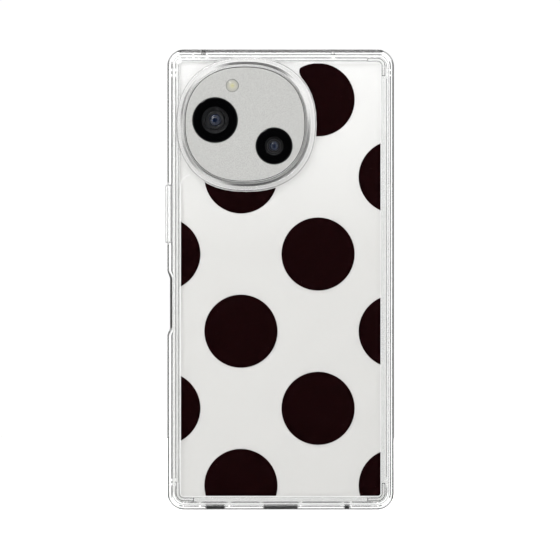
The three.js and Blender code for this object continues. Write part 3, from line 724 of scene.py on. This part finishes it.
def window_slot(window, edge, inward):
    """A cutter that opens a window to the bumper's back, but for a thin bridge at the outside."""
    inner = KEY_Y - window["half_depth"] + 0.3
    z = sorted(edge + inward * end for end in WINDOW_SLOT_ENDS)
    x, half = window["x"], window["half"]
    return block("window_slot", (x - half, RIM_Y - 1, z[0]), (x + half, inner, z[1]))


def make_port_shades():
    """Dark liners just inside the windows in the end walls: painted shade, standing for the dark seen through
    the openings.
    """
    for windows, edge, inward in ((LOWER_WINDOWS, 0, 1), (UPPER_WINDOWS, CASE_HEIGHT, -1)):
        for window in windows:
            if not window["rim"]:
                continue
            loops = []
            for end, grow in zip((0, 1, 1, 0), (-0.05, -0.05, -0.3, -0.3)):
                room = {**window, "half": window["half"] + grow, "half_depth": window["half_depth"] + grow}
                loops.append(end_loop(room, 0, edge + inward * PORT_SHADE_ENDS[end]))
            place(loft("port_shade", loops, ring=True), PORT_SHADE, "case", "clear_rubber")


def side_window(name, low, high, half_depth, corner):
    """A cutter for a rounded window through the key side's wall, between two heights."""
    outline = rounded_rect(2 * half_depth, high - low, corner, KEY_Y, (low + high) / 2)
    ends = (BUMPER_LOW.x - 2, FRAME_LOW.x + 0.4)
    return loft(name, [[Vector((x, p.x, p.y)) for p, normal in outline] for x in ends])


def ring_loop(grow, y):
    """The camera ring's outline at one distance outside the island. Its outer face sits further right."""
    share = (grow - RING_FIT) / (RING_WIDTH - RING_FIT)
    return at_depth(superellipse(grow, ISLAND_X + RING_SHIFT * share, ISLAND_Z), y)


def ring_reach(point):
    """How deep the ring's slanted inner wall runs at one place. The deeper it is, the darker it looks."""
    angle = math.degrees(math.atan2(point.z - ISLAND_Z, point.x - ISLAND_X))
    reach = RING_LEAST
    for centre, half, more in RING_DEEPER:
        away = abs((angle - centre + 180) % 360 - 180)
        reach += more * (1 - ramp(away, half - 14, half + 14))
    return reach


def ring_cutter(gap, y0, y1):
    """A cutter in the ring's outline, gap wider all round."""
    points = superellipse(RING_WIDTH + gap, ISLAND_X + RING_SHIFT, ISLAND_Z)
    return loft("ring_cutter", [at_depth(points, y0), at_depth(points, y1)])


def corner_pockets(outline):
    """Cutters for the L-shaped pockets in the rim, one inside each of three corners."""
    made = []
    for sx, sz in ((1, 1), (-1, -1), (1, -1)):

        def along(pair):
            """Grows from the pocket's end on the side wall to its end on the end wall."""
            return sz * (pair[0].y - MID_Z) - sx * pair[0].x

        def inside(pair):
            """Whether a point is within the pocket's reach of the corner."""
            to_side = CASE_WIDTH / 2 - sx * pair[0].x
            to_end = CASE_HEIGHT / 2 - sz * (pair[0].y - MID_Z)
            return max(to_side, to_end) < POCKET_REACH

        path = sorted(filter(inside, outline), key=along)
        loops = []
        levels = ((POCKET_MOUTH, 0, RIM_Y - 0.1), (POCKET_FLOOR, 0.5, RIM_Y + POCKET_DEPTH))
        for (near, far), shorten, y in levels:
            ends = [path[0][0].lerp(path[1][0], shorten), path[-1][0].lerp(path[-2][0], shorten)]
            trimmed = [(ends[0], path[0][1]), *path[1:-1], (ends[1], path[-1][1])]
            loops.append(at_depth(inset(trimmed, near) + inset(trimmed, far)[::-1], y))
        made.append(loft("pocket", loops))
    return made


def make_bumper():
    """The clear bumper, with its windows, pockets and the opening for the camera ring."""
    outline = rounded_rect(CASE_WIDTH, CASE_HEIGHT, CASE_CORNER, 0, MID_Z, 18, (0.6, 0.22, 0.6, 0.6))
    made = band("bumper", outline, bumper_profile(), bumper_shape, smooth_angle=30)
    carve(
        made,
        *(end_window(window, 0, 1) for window in LOWER_WINDOWS),
        *(end_window(window, CASE_HEIGHT, -1) for window in UPPER_WINDOWS),
        *(window_slot(window, 0, 1) for window in LOWER_WINDOWS),
        window_slot(UPPER_WINDOWS[1], CASE_HEIGHT, -1),
        side_window("pad_hole", **PAD_HOLE),
        side_window("power_hole", **POWER_HOLE),
        ring_cutter(0.25, RIM_Y - 1, COVER_LOW.y + 0.5),
        *corner_pockets(outline),
        smooth_angle=30,
    )
    return place(made, CLEAR_RUBBER, "case", "clear_rubber", "case_bumper")


def make_plate():
    """The flat back plate, open where the camera ring stands."""
    inset_by = RIM_WIDTH + 0.05
    outline = rounded_rect(2 * PLATE_HIGH.x, CASE_HEIGHT - 2 * inset_by, CASE_CORNER - inset_by, 0, MID_Z, 8)
    profile = [(0.06, PLATE_FRONT), (0, PLATE_FRONT - 0.06), (0, PLATE_Y + 0.07), (0.07, PLATE_Y)]
    made = slab("back_plate", outline, profile)
    carve(made, ring_cutter(0.01, PLATE_Y - 1, PLATE_FRONT + 1))
    return place(made, CLEAR_PLATE, "case", "clear_plate", "case_back_plate")


def make_ring():
    """The raised clear ring round the camera island: steep outside, crowned, with a slanted inner wall."""
    top = RING_TOP
    section = [(3.0, PLATE_FRONT), (2.99, top + 0.7), (2.94, top + 0.45), (2.86, top + 0.26)]
    section += [(2.74, top + 0.12), (2.55, top + 0.03), (2.35, top)]
    section += [(1.8, top), (1.62, top + 0.04), (1.5, top + 0.14)]
    loops = [ring_loop(grow, y) for grow, y in section]
    # The inner wall: how far out, the share of its reach that it has there, and its depth without that.
    for grow, share, offset in ((1.45, 0.06, 0.14), (0.69, 0.94, 0.14), (0.65, 1, 0.14), (0.5, 1, 0.2)):
        loop = ring_loop(grow, top + offset)
        for point in loop:
            point.y += share * ring_reach(point)
        loops.append(loop)
    loops.append(ring_loop(0.38, PLATE_FRONT))
    made = loft("camera_ring", loops, ring=True, smooth_angle=50)
    return place(made, HIGHLIGHTED_RING, "case", "clear_plate")


def make_film():
    """The edge of the printed film behind the plate, rounded off where it meets the camera ring, painted pale
    as a highlight for the light line along it.
    """
    right, low, high = FILM["right"], FILM["low"], FILM["high"]
    left, corner = FILM["left"], FILM["corner"]
    shoulder = FILM["shoulder"]
    path = [
        (Vector((ISLAND_X + FILM["start"], high)), Vector((0, 1))),
        *arc(right - corner, high - corner, corner, 90, 0, 6),
        *arc(right - corner, low + corner, corner, 0, -90, 6),
        *arc(left + corner, low + corner, corner, -90, -180, 6),
        *arc(left + shoulder, FILM["shoulder_z"], shoulder, 180, 100, 12),
    ]
    back = PLATE_Y - 0.02
    front = back + FILM["thickness"]
    loops = []
    for point, normal in path:
        inner = point - FILM["width"] * normal
        section = ((point, back), (inner, back), (inner, front), (point, front))
        loops.append([Vector((at.x, y, at.y)) for at, y in section])
    return place(loft("film_edge_highlight", loops), FILM_EDGE_HIGHLIGHT, "case", "clear_plate")


def make_pad():
    """The volume pad, with a shallow dip between up and down."""
    middle_z = (PAD_LOW.z + PAD_HIGH.z) / 2
    outline = rounded_rect(PAD_WIDTH, PAD_HIGH.z - PAD_LOW.z, 0.8, 0, 0, 5, (2, 0.4, 2, 0.4))
    outer, inner = PAD_LOW.x, PAD_HIGH.x
    loops = []
    section = ((0.25, inner), (0, inner - 0.25), (0, outer + 0.16), (0.2, outer + 0.04), (0.6, outer))
    for inset_by, x in section:
        loop = []
        for p, normal in outline:
            q = p - inset_by * Vector((normal.x, normal.y * 0.4))
            loop.append(Vector((x, KEY_Y + q.x, middle_z + q.y)))
        loops.append(loop)
    made = loft("volume_pad", loops)
    dip_low = (outer - 1, KEY_Y - 1.2, middle_z - 1.1)
    dip_high = (outer + 0.22, KEY_Y + 1.2, middle_z + 1.1)
    carve(made, block("dip", dip_low, dip_high, 0.2, 2))
    return place(made, CLEAR_PAD, "volume_cover", "clear_rubber", "case_volume_cover")


# -------- phone body

SPEAKER_PITCH = 1.7
TRAY_Y = 0.6
TONGUE_WIDTH = 6.7
TONGUE_DEPTH = 0.7
CONTACTS = 6  # on each face of the tongue
CONTACT_PITCH = 1.1


def make_frame_band():
    """The metal frame's visible band, with its ports and key pockets."""
    width, height = FRAME_HIGH.x - FRAME_LOW.x, FRAME_HIGH.z - FRAME_LOW.z
    outline = rounded_rect(width, height, PHONE_CORNER, 0, MID_Z, 16)
    back, front = FRAME_LOW.y, FRAME_HIGH.y
    profile = [
        *fillet(0.45, back + 0.45, 0.45, 270, 180, 5),
        *fillet(0.45, front - 0.45, 0.45, 180, 90, 5),
        (1.6, front),
        (1.6, back),
    ]
    made = band("frame_band", outline, profile)
    mouth = rounded_rect(9.3, 3.6, 1.75, 0, KEY_Y, 8)
    socket = loft("socket_hole", [[Vector((p.x, p.y, z)) for p, n in mouth] for z in (0, FRAME_LOW.z + 3)])
    speaker, microphone = LOWER_WINDOWS[1:]
    holes = [speaker["x"] + SPEAKER_PITCH * i for i in (-1.5, -0.5, 0.5, 1.5)] + [microphone["x"]]
    drills = [upright_drill(x, FRAME_LOW.z - 1, FRAME_LOW.z + 3, 0.55) for x in holes]
    drills += [upright_drill(hole["x"], FRAME_HIGH.z - 3, FRAME_HIGH.z + 1, 0.5) for hole in UPPER_WINDOWS]
    pockets = [key_pocket(VOLUME_LOW.z, VOLUME_HIGH.z), key_pocket(POWER_LOW.z, POWER_HIGH.z)]
    tray_low = (FRAME_HIGH.x - 3, TRAY_Y - 1.45, SIM_LOW.z - 0.12)
    tray_high = (FRAME_HIGH.x + 1, TRAY_Y + 1.45, SIM_HIGH.z + 0.12)
    carve(made, socket, *drills, *pockets, block("tray_hole", tray_low, tray_high, 0.6))
    return place(made, FRAME_METAL, "phone", "frame_metal", "mid_frame")


def key_pocket(low_z, high_z):
    """A cutter for one side key's pocket, a little longer than the key."""
    low = (FRAME_LOW.x - 1, KEY_Y - 1.35, low_z - 0.22)
    high = (FRAME_LOW.x + 1.2, KEY_Y + 1.35, high_z + 0.22)
    return block("pocket", low, high, 0.5)


def upright_drill(x, low, high, radius):
    """A cutter for a hole along Z in one of the frame's ends."""
    loops = [[Vector((p.x, p.y, z)) for p in circle(x, KEY_Y, radius, 24)] for z in (low, high)]
    return loft("drill", loops)


def make_back_cover():
    """The white cover, open where the camera island stands."""
    width, height = COVER_HIGH.x - COVER_LOW.x, COVER_HIGH.z - COVER_LOW.z
    outline = rounded_rect(width, height, PHONE_CORNER - 0.1, 0, MID_Z, 16)
    back, front = COVER_LOW.y, COVER_HIGH.y
    profile = [(0.02, front), (0, front - 0.05), (0.06, back + 0.3)]
    profile += [(0.22, back + 0.13), (0.5, back + 0.04), (0.9, back)]
    made = slab("back_cover", outline, profile, 60)
    hole = superellipse(0.15, ISLAND_X, ISLAND_Z)
    carve(made, loft("island_hole", [at_depth(hole, back - 1), at_depth(hole, front + 1)]), smooth_angle=60)
    return place(made, BACK_WHITE, "phone", "rear_cover", "rear_cover")


def make_display():
    """The front glass, with the front camera's eye and the earpiece slit."""
    width, height = GLASS_HIGH.x - GLASS_LOW.x, GLASS_HIGH.z - GLASS_LOW.z
    outline = rounded_rect(width, height, PHONE_CORNER - 0.3, 0, MID_Z, 16)
    back, front = GLASS_LOW.y, GLASS_HIGH.y
    profile = [(0, back), (0, front - 0.4), (0.05, front - 0.25)]
    profile += [(0.18, front - 0.1), (0.4, front - 0.02), (0.7, front)]
    made = slab("display_front", outline, profile, 60)
    place(made, BLACK_GLASS, "phone", "black_glass", "display_glass")
    eye = middle("front_camera")
    section = [(0.01, front - 0.3), (1.0, front - 0.3), (1.7, front - 0.2), (1.9, front + 0.02)]
    section += [(1.55, front + 0.03), (1.3, front - 0.02), (0.9, front), (0.01, front + 0.02)]
    front_eye = turned("front_eye", eye.x, eye.z, section, 48)
    place(front_eye, LENS_GLASS, "phone", "lens_glass")
    slit_low = (-6, front - 0.2, GLASS_HIGH.z - 0.85)
    slit_high = (6, front + 0.02, GLASS_HIGH.z - 0.45)
    slit = block("earpiece_slit", slit_low, slit_high, 0.15)
    place(slit, BLACK_PLASTIC, "phone", "black_plastic")


def make_keys():
    """The two side keys, each a rounded bar."""
    for name, low, high, body, node in (
        ("volume_bar", VOLUME_LOW, VOLUME_HIGH, "volume_rocker", "volume_key"),
        ("power_bar", POWER_LOW, POWER_HIGH, "power_button", "power_key"),
    ):
        made = block(name, (low.x, KEY_Y - 1.15, low.z), (low.x + 1.15, KEY_Y + 1.15, high.z), 0.3, 4)
        place(made, FRAME_METAL, body, "frame_metal", node)


def make_socket():
    """The charging socket: a rounded shell with its contact tongue."""
    low, high = SOCKET_LOW, SOCKET_HIGH
    outer = rounded_rect(high.x - low.x, high.y - low.y, 1.6, 0, KEY_Y, 10)
    mouth = rounded_rect(high.x - low.x - 0.6, high.y - low.y - 0.7, 1.25, 0, KEY_Y, 10)

    def upright(outline, z, grow=0.0):
        return [Vector((p.x + grow * n.x, p.y + grow * n.y, z)) for p, n in outline]

    loops = [
        upright(outer, high.z),
        upright(outer, low.z + 0.1),
        upright(outer, low.z, -0.08),
        upright(mouth, low.z, 0.12),
        upright(mouth, low.z + 0.25),
        upright(mouth, high.z - 0.8),
    ]
    shell = loft("socket_shell", loops)
    place(shell, STEEL, "phone", "steel", "usb_receptacle")
    tongue_low = (-TONGUE_WIDTH / 2, KEY_Y - TONGUE_DEPTH / 2, low.z + 0.6)
    tongue_high = (TONGUE_WIDTH / 2, KEY_Y + TONGUE_DEPTH / 2, high.z - 0.9)
    tongue = block("socket_tongue", tongue_low, tongue_high, 0.12)
    place(tongue, BLACK_PLASTIC, "phone", "black_plastic")
    for side in (-1, 1):
        for i in range(CONTACTS):
            x = CONTACT_PITCH * (i - (CONTACTS - 1) / 2)
            y0, y1 = sorted((KEY_Y + side * 0.33, KEY_Y + side * 0.39))
            contact = block("socket_contact", (x - 0.16, y0, low.z + 1), (x + 0.16, y1, low.z + 3.6), 0.02, 1)
            place(contact, COPPER, "phone", "copper")


def make_tray():
    """The card tray's end, with the hole that a pin opens it by."""
    low, high = SIM_LOW, SIM_HIGH
    made = block("tray_cap", (high.x - 1.4, low.y, low.z), (high.x, high.y, high.z), 0.45, 4)
    hole = circle(TRAY_Y, high.z - 1.5, 0.45, 24)
    carve(made, loft("tray_pin", [[Vector((x, p.x, p.y)) for p in hole] for x in (high.x - 1, high.x + 1)]))
    place(made, FRAME_METAL, "phone", "frame_metal", "sim_tray")


# -------- camera island

ISLAND_TOP = ISLAND_LOW.y


def island_loops(section):
    """One loop in the island's outline for each (distance outside it, y)."""
    return [at_depth(superellipse(grow, ISLAND_X, ISLAND_Z, 200), y) for grow, y in section]


def make_island():
    """The island's thin metal rim, a black ring inside it as painted shade for the gap between rim and panel,
    and the sparkling panel with its three holes.
    """
    gap_shade_top, gap_shade_foot, rim_foot = ISLAND_TOP + 0.2, ISLAND_TOP + 0.9, ISLAND_HIGH.y - 0.4
    section = [(0.0, rim_foot), (0.0, gap_shade_top), (-0.04, ISLAND_TOP + 0.05), (-0.11, ISLAND_TOP)]
    section += [(-0.18, ISLAND_TOP + 0.03), (-0.21, ISLAND_TOP + 0.1), (-0.21, gap_shade_foot)]
    section += [(-1.0, gap_shade_foot), (-1.0, rim_foot)]
    rim = loft("island_rim", island_loops(section), ring=True, smooth_angle=60)
    place(rim, FRAME_METAL, "phone", "frame_metal", "camera_island")
    # Painted shade: a black ring fills the gap between rim and panel, where the gap's shade falls.
    section = [(-0.22, gap_shade_foot), (-0.22, gap_shade_top), (-0.46, gap_shade_top), (-0.46, gap_shade_foot)]
    gap_shade = loft("island_gap_shade", island_loops(section), ring=True)
    place(gap_shade, BLACK_PLASTIC, "phone", "black_plastic")
    top = box_of("camera_panel")[0].y
    section = [(-0.46, top + 0.5), (-0.46, top + 0.1), (-0.52, top + 0.03), (-0.66, top)]
    panel = loft("island_panel", island_loops(section))
    holes = []
    for node, extra in (("main_lens_window", 0.12), ("wide_lens_window", 0.12), ("flash_lens", 0.06)):
        centre, (low, high) = middle(node), box_of(node)
        radius = (high.x - low.x) / 2 + extra
        holes.append(turned("lens_hole", centre.x, centre.z, [(radius, top - 1), (radius, top + 3)]))
    carve(panel, *holes)
    place(panel, PANEL, "phone", "camera_panel", "camera_panel")


def element_profile(radius, rim_y):
    """A front lens element's face, as (radius, y): calm in the middle, then slanted, steep at the edge."""
    steps = 24
    y = rim_y
    made = [(radius, y)]
    for i in range(steps - 1, -1, -1):
        share = (i + 0.5) / steps
        tilt = 20 * share + 13 * ramp(share, 0.38, 0.5) + 33 * ramp(share, 0.9, 1)
        y -= math.tan(math.radians(tilt)) * radius / steps
        made.append((max(radius * i / steps, 0.01), y))
    return made


def make_lens(name, node, body, baffles, glass_radius):
    """One rear camera: black window ring, clear centre, stepped baffles and its front element.

    The baffles are the outer one's radius, the inner one's, and the gap between the inner one and its step.
    """
    low, high = box_of(node)
    centre = middle(node)
    x, z = centre.x, centre.z
    radius = (high.x - low.x) / 2
    top = low.y
    outer, inner, gap = baffles
    open_radius = outer + 0.15
    mask = [(radius, top + 1.2), (radius, top + 0.22), (radius - 0.06, top + 0.08)]
    mask += [(radius - 0.22, top), (open_radius, top), (open_radius, top + 1.2)]
    window = turned(name + "_window_ring", x, z, mask, 128, ring=True)
    place(window, BLACK_GLASS, "phone", "black_glass", node)
    clear_radius = open_radius - 0.01
    section = [(clear_radius, top + 0.32), (clear_radius, top + 0.01)]
    cover = turned(name + "_window_clear", x, z, section, 128)
    place(cover, LENS_COVER, "phone", "black_glass")
    step = inner + gap
    steps = [(open_radius, top + 1.5), (open_radius, top + 0.5), (outer, top + 0.5)]
    steps += [(outer - 0.25, top + 0.72), (step + 0.06, top + 0.78), (step, top + 1.0), (step, top + 1.5)]
    housing = turned(name + "_baffle", x, z, steps, 96, ring=True)
    place(housing, BAFFLE_OUTER, "phone", "black_plastic", node.replace("lens_window", "camera_housing"))
    barrel_steps = [(inner, top + 2.5), (inner, top + 0.98), (inner - 0.12, top + 0.9)]
    barrel_steps += [(glass_radius + 0.3, top + 0.93), (glass_radius + 0.12, top + 1.05)]
    barrel_steps += [(glass_radius + 0.05, top + 1.35), (glass_radius + 0.05, top + 2.5)]
    barrel = turned(name + "_barrel", x, z, barrel_steps, 96, ring=True)
    place(barrel, BAFFLE_INNER, body, "black_plastic", node.replace("lens_window", "lens_barrel"))
    dome = [(glass_radius, top + 2.0), *element_profile(glass_radius, top + 1.5)]
    element = turned(name + "_element", x, z, dome, 64)
    place(element, LENS_GLASS, body, "lens_glass", node.replace("lens_window", "lens_glass"))


def make_flash():
    """The flash diffuser: fine rings over a warm centre."""
    low, high = box_of("flash_lens")
    centre = middle("flash_lens")
    radius = (high.x - low.x) / 2
    top = low.y
    profile = [(radius, top + 0.5), (radius, top + 0.15), (radius - 0.12, top + 0.02)]
    rings = 7
    for i in range(rings):
        r = (radius - 0.25) * (1 - i / rings)
        profile += [(r, top + 0.02), (r - 0.08, top + 0.09)]
    profile.append((0.03, top + 0.03))
    made = turned("flash_cover", centre.x, centre.z, profile, 64, smooth_angle=25)
    place(made, flash_material(centre, radius), "phone", "flash_diffuser", "flash_lens")


def flash_material(centre, radius):
    """Warm in the middle and pale grey at the edge, from the distance to the flash's centre."""
    made = principled("flash_diffuser", (0.8, 0.78, 0.6), 0.3, Coat_Weight=0.6)
    spot = add_node(made, "ShaderNodeTexCoord").outputs["Object"]
    flat = maths(made, "ShaderNodeVectorMath", "MULTIPLY", spot, (1, 0, 1), "Vector")
    away = maths(made, "ShaderNodeVectorMath", "DISTANCE", flat, (centre.x * MM, 0, centre.z * MM))
    stops = ((0.0, (0.36, 0.34, 0.15)), (0.45, (0.33, 0.325, 0.26)), (1.0, (0.24, 0.24, 0.23)))
    tones = tone_scale(made, remap(made, away, 0, radius * MM), stops)
    made.node_tree.links.new(tones, shader_of(made).inputs["Base Color"])
    return made


# -------- studio

PHOTO_SIDE = 560  # pixels
PIXELS_PER_MM = 2.8665
VIEW_WIDTH = PHOTO_SIDE / PIXELS_PER_MM
CAMERA_DISTANCE = 2000
CAMERA_X = -0.21
CAMERA_Z = 80.06
SKY_STRENGTH = 1.56
BACKDROP_STRENGTH = 1.02
FLOOR_HALF = 900
# What the object sees round it, as how far a direction points towards +Y and how bright it is there.
BEHIND = ((-1.0, 0.0), (-0.975, 0.0), (-0.93, 1.0), (-0.45, 1.0))
BEFORE = ((0.62, 0.3), (0.92, 0.3), (0.965, 0.7), (1.0, 0.7))
CLEAR_SKY = (*BEHIND, (-0.28, 0.04), (0.5, 0.04), *BEFORE)


def make_world():
    """White to the camera. The object sees soft light before and behind it, and dark between them."""
    world = bpy.data.worlds.new("studio")
    bpy.context.scene.world = world
    world.use_nodes = True
    links = world.node_tree.links
    direction = add_node(world, "ShaderNodeTexCoord")
    split = add_node(world, "ShaderNodeSeparateXYZ")
    links.new(direction.outputs["Generated"], split.inputs["Vector"])
    stops = [((towards + 1) / 2, grey(tone)) for towards, tone in CLEAR_SKY]
    sky = world.node_tree.nodes["Background"]
    sky.inputs["Strength"].default_value = SKY_STRENGTH
    links.new(tone_scale(world, remap(world, split.outputs["Y"], -1, 1), stops), sky.inputs["Color"])
    plain = add_node(world, "ShaderNodeBackground", Color=(1, 1, 1, 1), Strength=BACKDROP_STRENGTH)
    shaders = (sky.outputs["Background"], plain.outputs["Background"])
    unlike_for(world, "Is Camera Ray", *shaders, "World Output")


def make_floor():
    """The white ground, which mirrors and clear pieces don't show."""
    size = FLOOR_HALF
    corners = [(-size, -size, 0), (size, -size, 0), (size, size, 0), (-size, size, 0)]
    floor = piece("floor", corners, [(0, 1, 2, 3)])
    paint = principled("floor", (0.9, 0.9, 0.9), 0.9, Emission_Color=(1, 1, 1, 1), Emission_Strength=0.8)
    bumpy(paint, 4, 0.05)
    floor.data.materials.append(paint)
    floor.visible_glossy = False
    floor.visible_transmission = False


def make_lamp(name, at, aim, size, power):
    """A square area lamp in millimetres and watts."""
    data = bpy.data.lights.new(name, "AREA")
    data.size = size * MM
    data.energy = power
    lamp = bpy.data.objects.new(name, data)
    lamp.location = Vector(at) * MM
    lamp.rotation_euler = (Vector(aim) - Vector(at)).to_track_quat("-Z", "Y").to_euler()
    bpy.context.scene.collection.objects.link(lamp)
    return lamp


def make_camera():
    """A long lens square on to the back, framed as the photo is."""
    data = bpy.data.cameras.new("camera")
    data.sensor_width = 36
    data.lens = data.sensor_width * CAMERA_DISTANCE / VIEW_WIDTH
    data.clip_end = 20
    camera = bpy.data.objects.new("camera", data)
    camera.location = (CAMERA_X * MM, -CAMERA_DISTANCE * MM, CAMERA_Z * MM)
    camera.rotation_euler = (math.pi / 2, 0, 0)
    bpy.context.scene.collection.objects.link(camera)
    bpy.context.scene.camera = camera


def make_studio():
    """Everything round the object: world, ground, key lamp, fill lamps and camera."""
    make_world()
    make_floor()
    make_lamp("key", (-260, -420, 520), (0, 0, 90), 200, 1.2)
    fills = {
        "left_fill": ((-700, 250, 300), 2.2),
        "right_fill": ((700, 250, 300), 2.2),
        "front_fill": ((0, 900, 500), 9),
        "top_fill": ((0, 100, 900), 4),
        "left_front_fill": ((-640, 640, 420), 1.4),
        "right_front_fill": ((640, 640, 420), 1.4),
    }
    for name, (at, power) in fills.items():
        lamp = make_lamp(name, at, (0, 0, 80), 500, power)
        lamp.visible_transmission = False
        lamp.visible_glossy = name != "front_fill"
    make_camera()
    bpy.context.scene.view_settings.view_transform = "Standard"


# -------- everything

dress_nodes()
make_bumper()
make_plate()
make_ring()
make_film()
make_port_shades()
make_pad()
make_frame_band()
make_back_cover()
make_display()
make_keys()
make_socket()
make_tray()
make_island()
make_lens("main", "main_lens_window", "main_autofocus", (4.57, 3.14, 0.38), 2.06)
make_lens("wide", "wide_lens_window", "wide_autofocus", (3.14, 2.3, 0.06), 1.57)
make_flash()
make_studio()
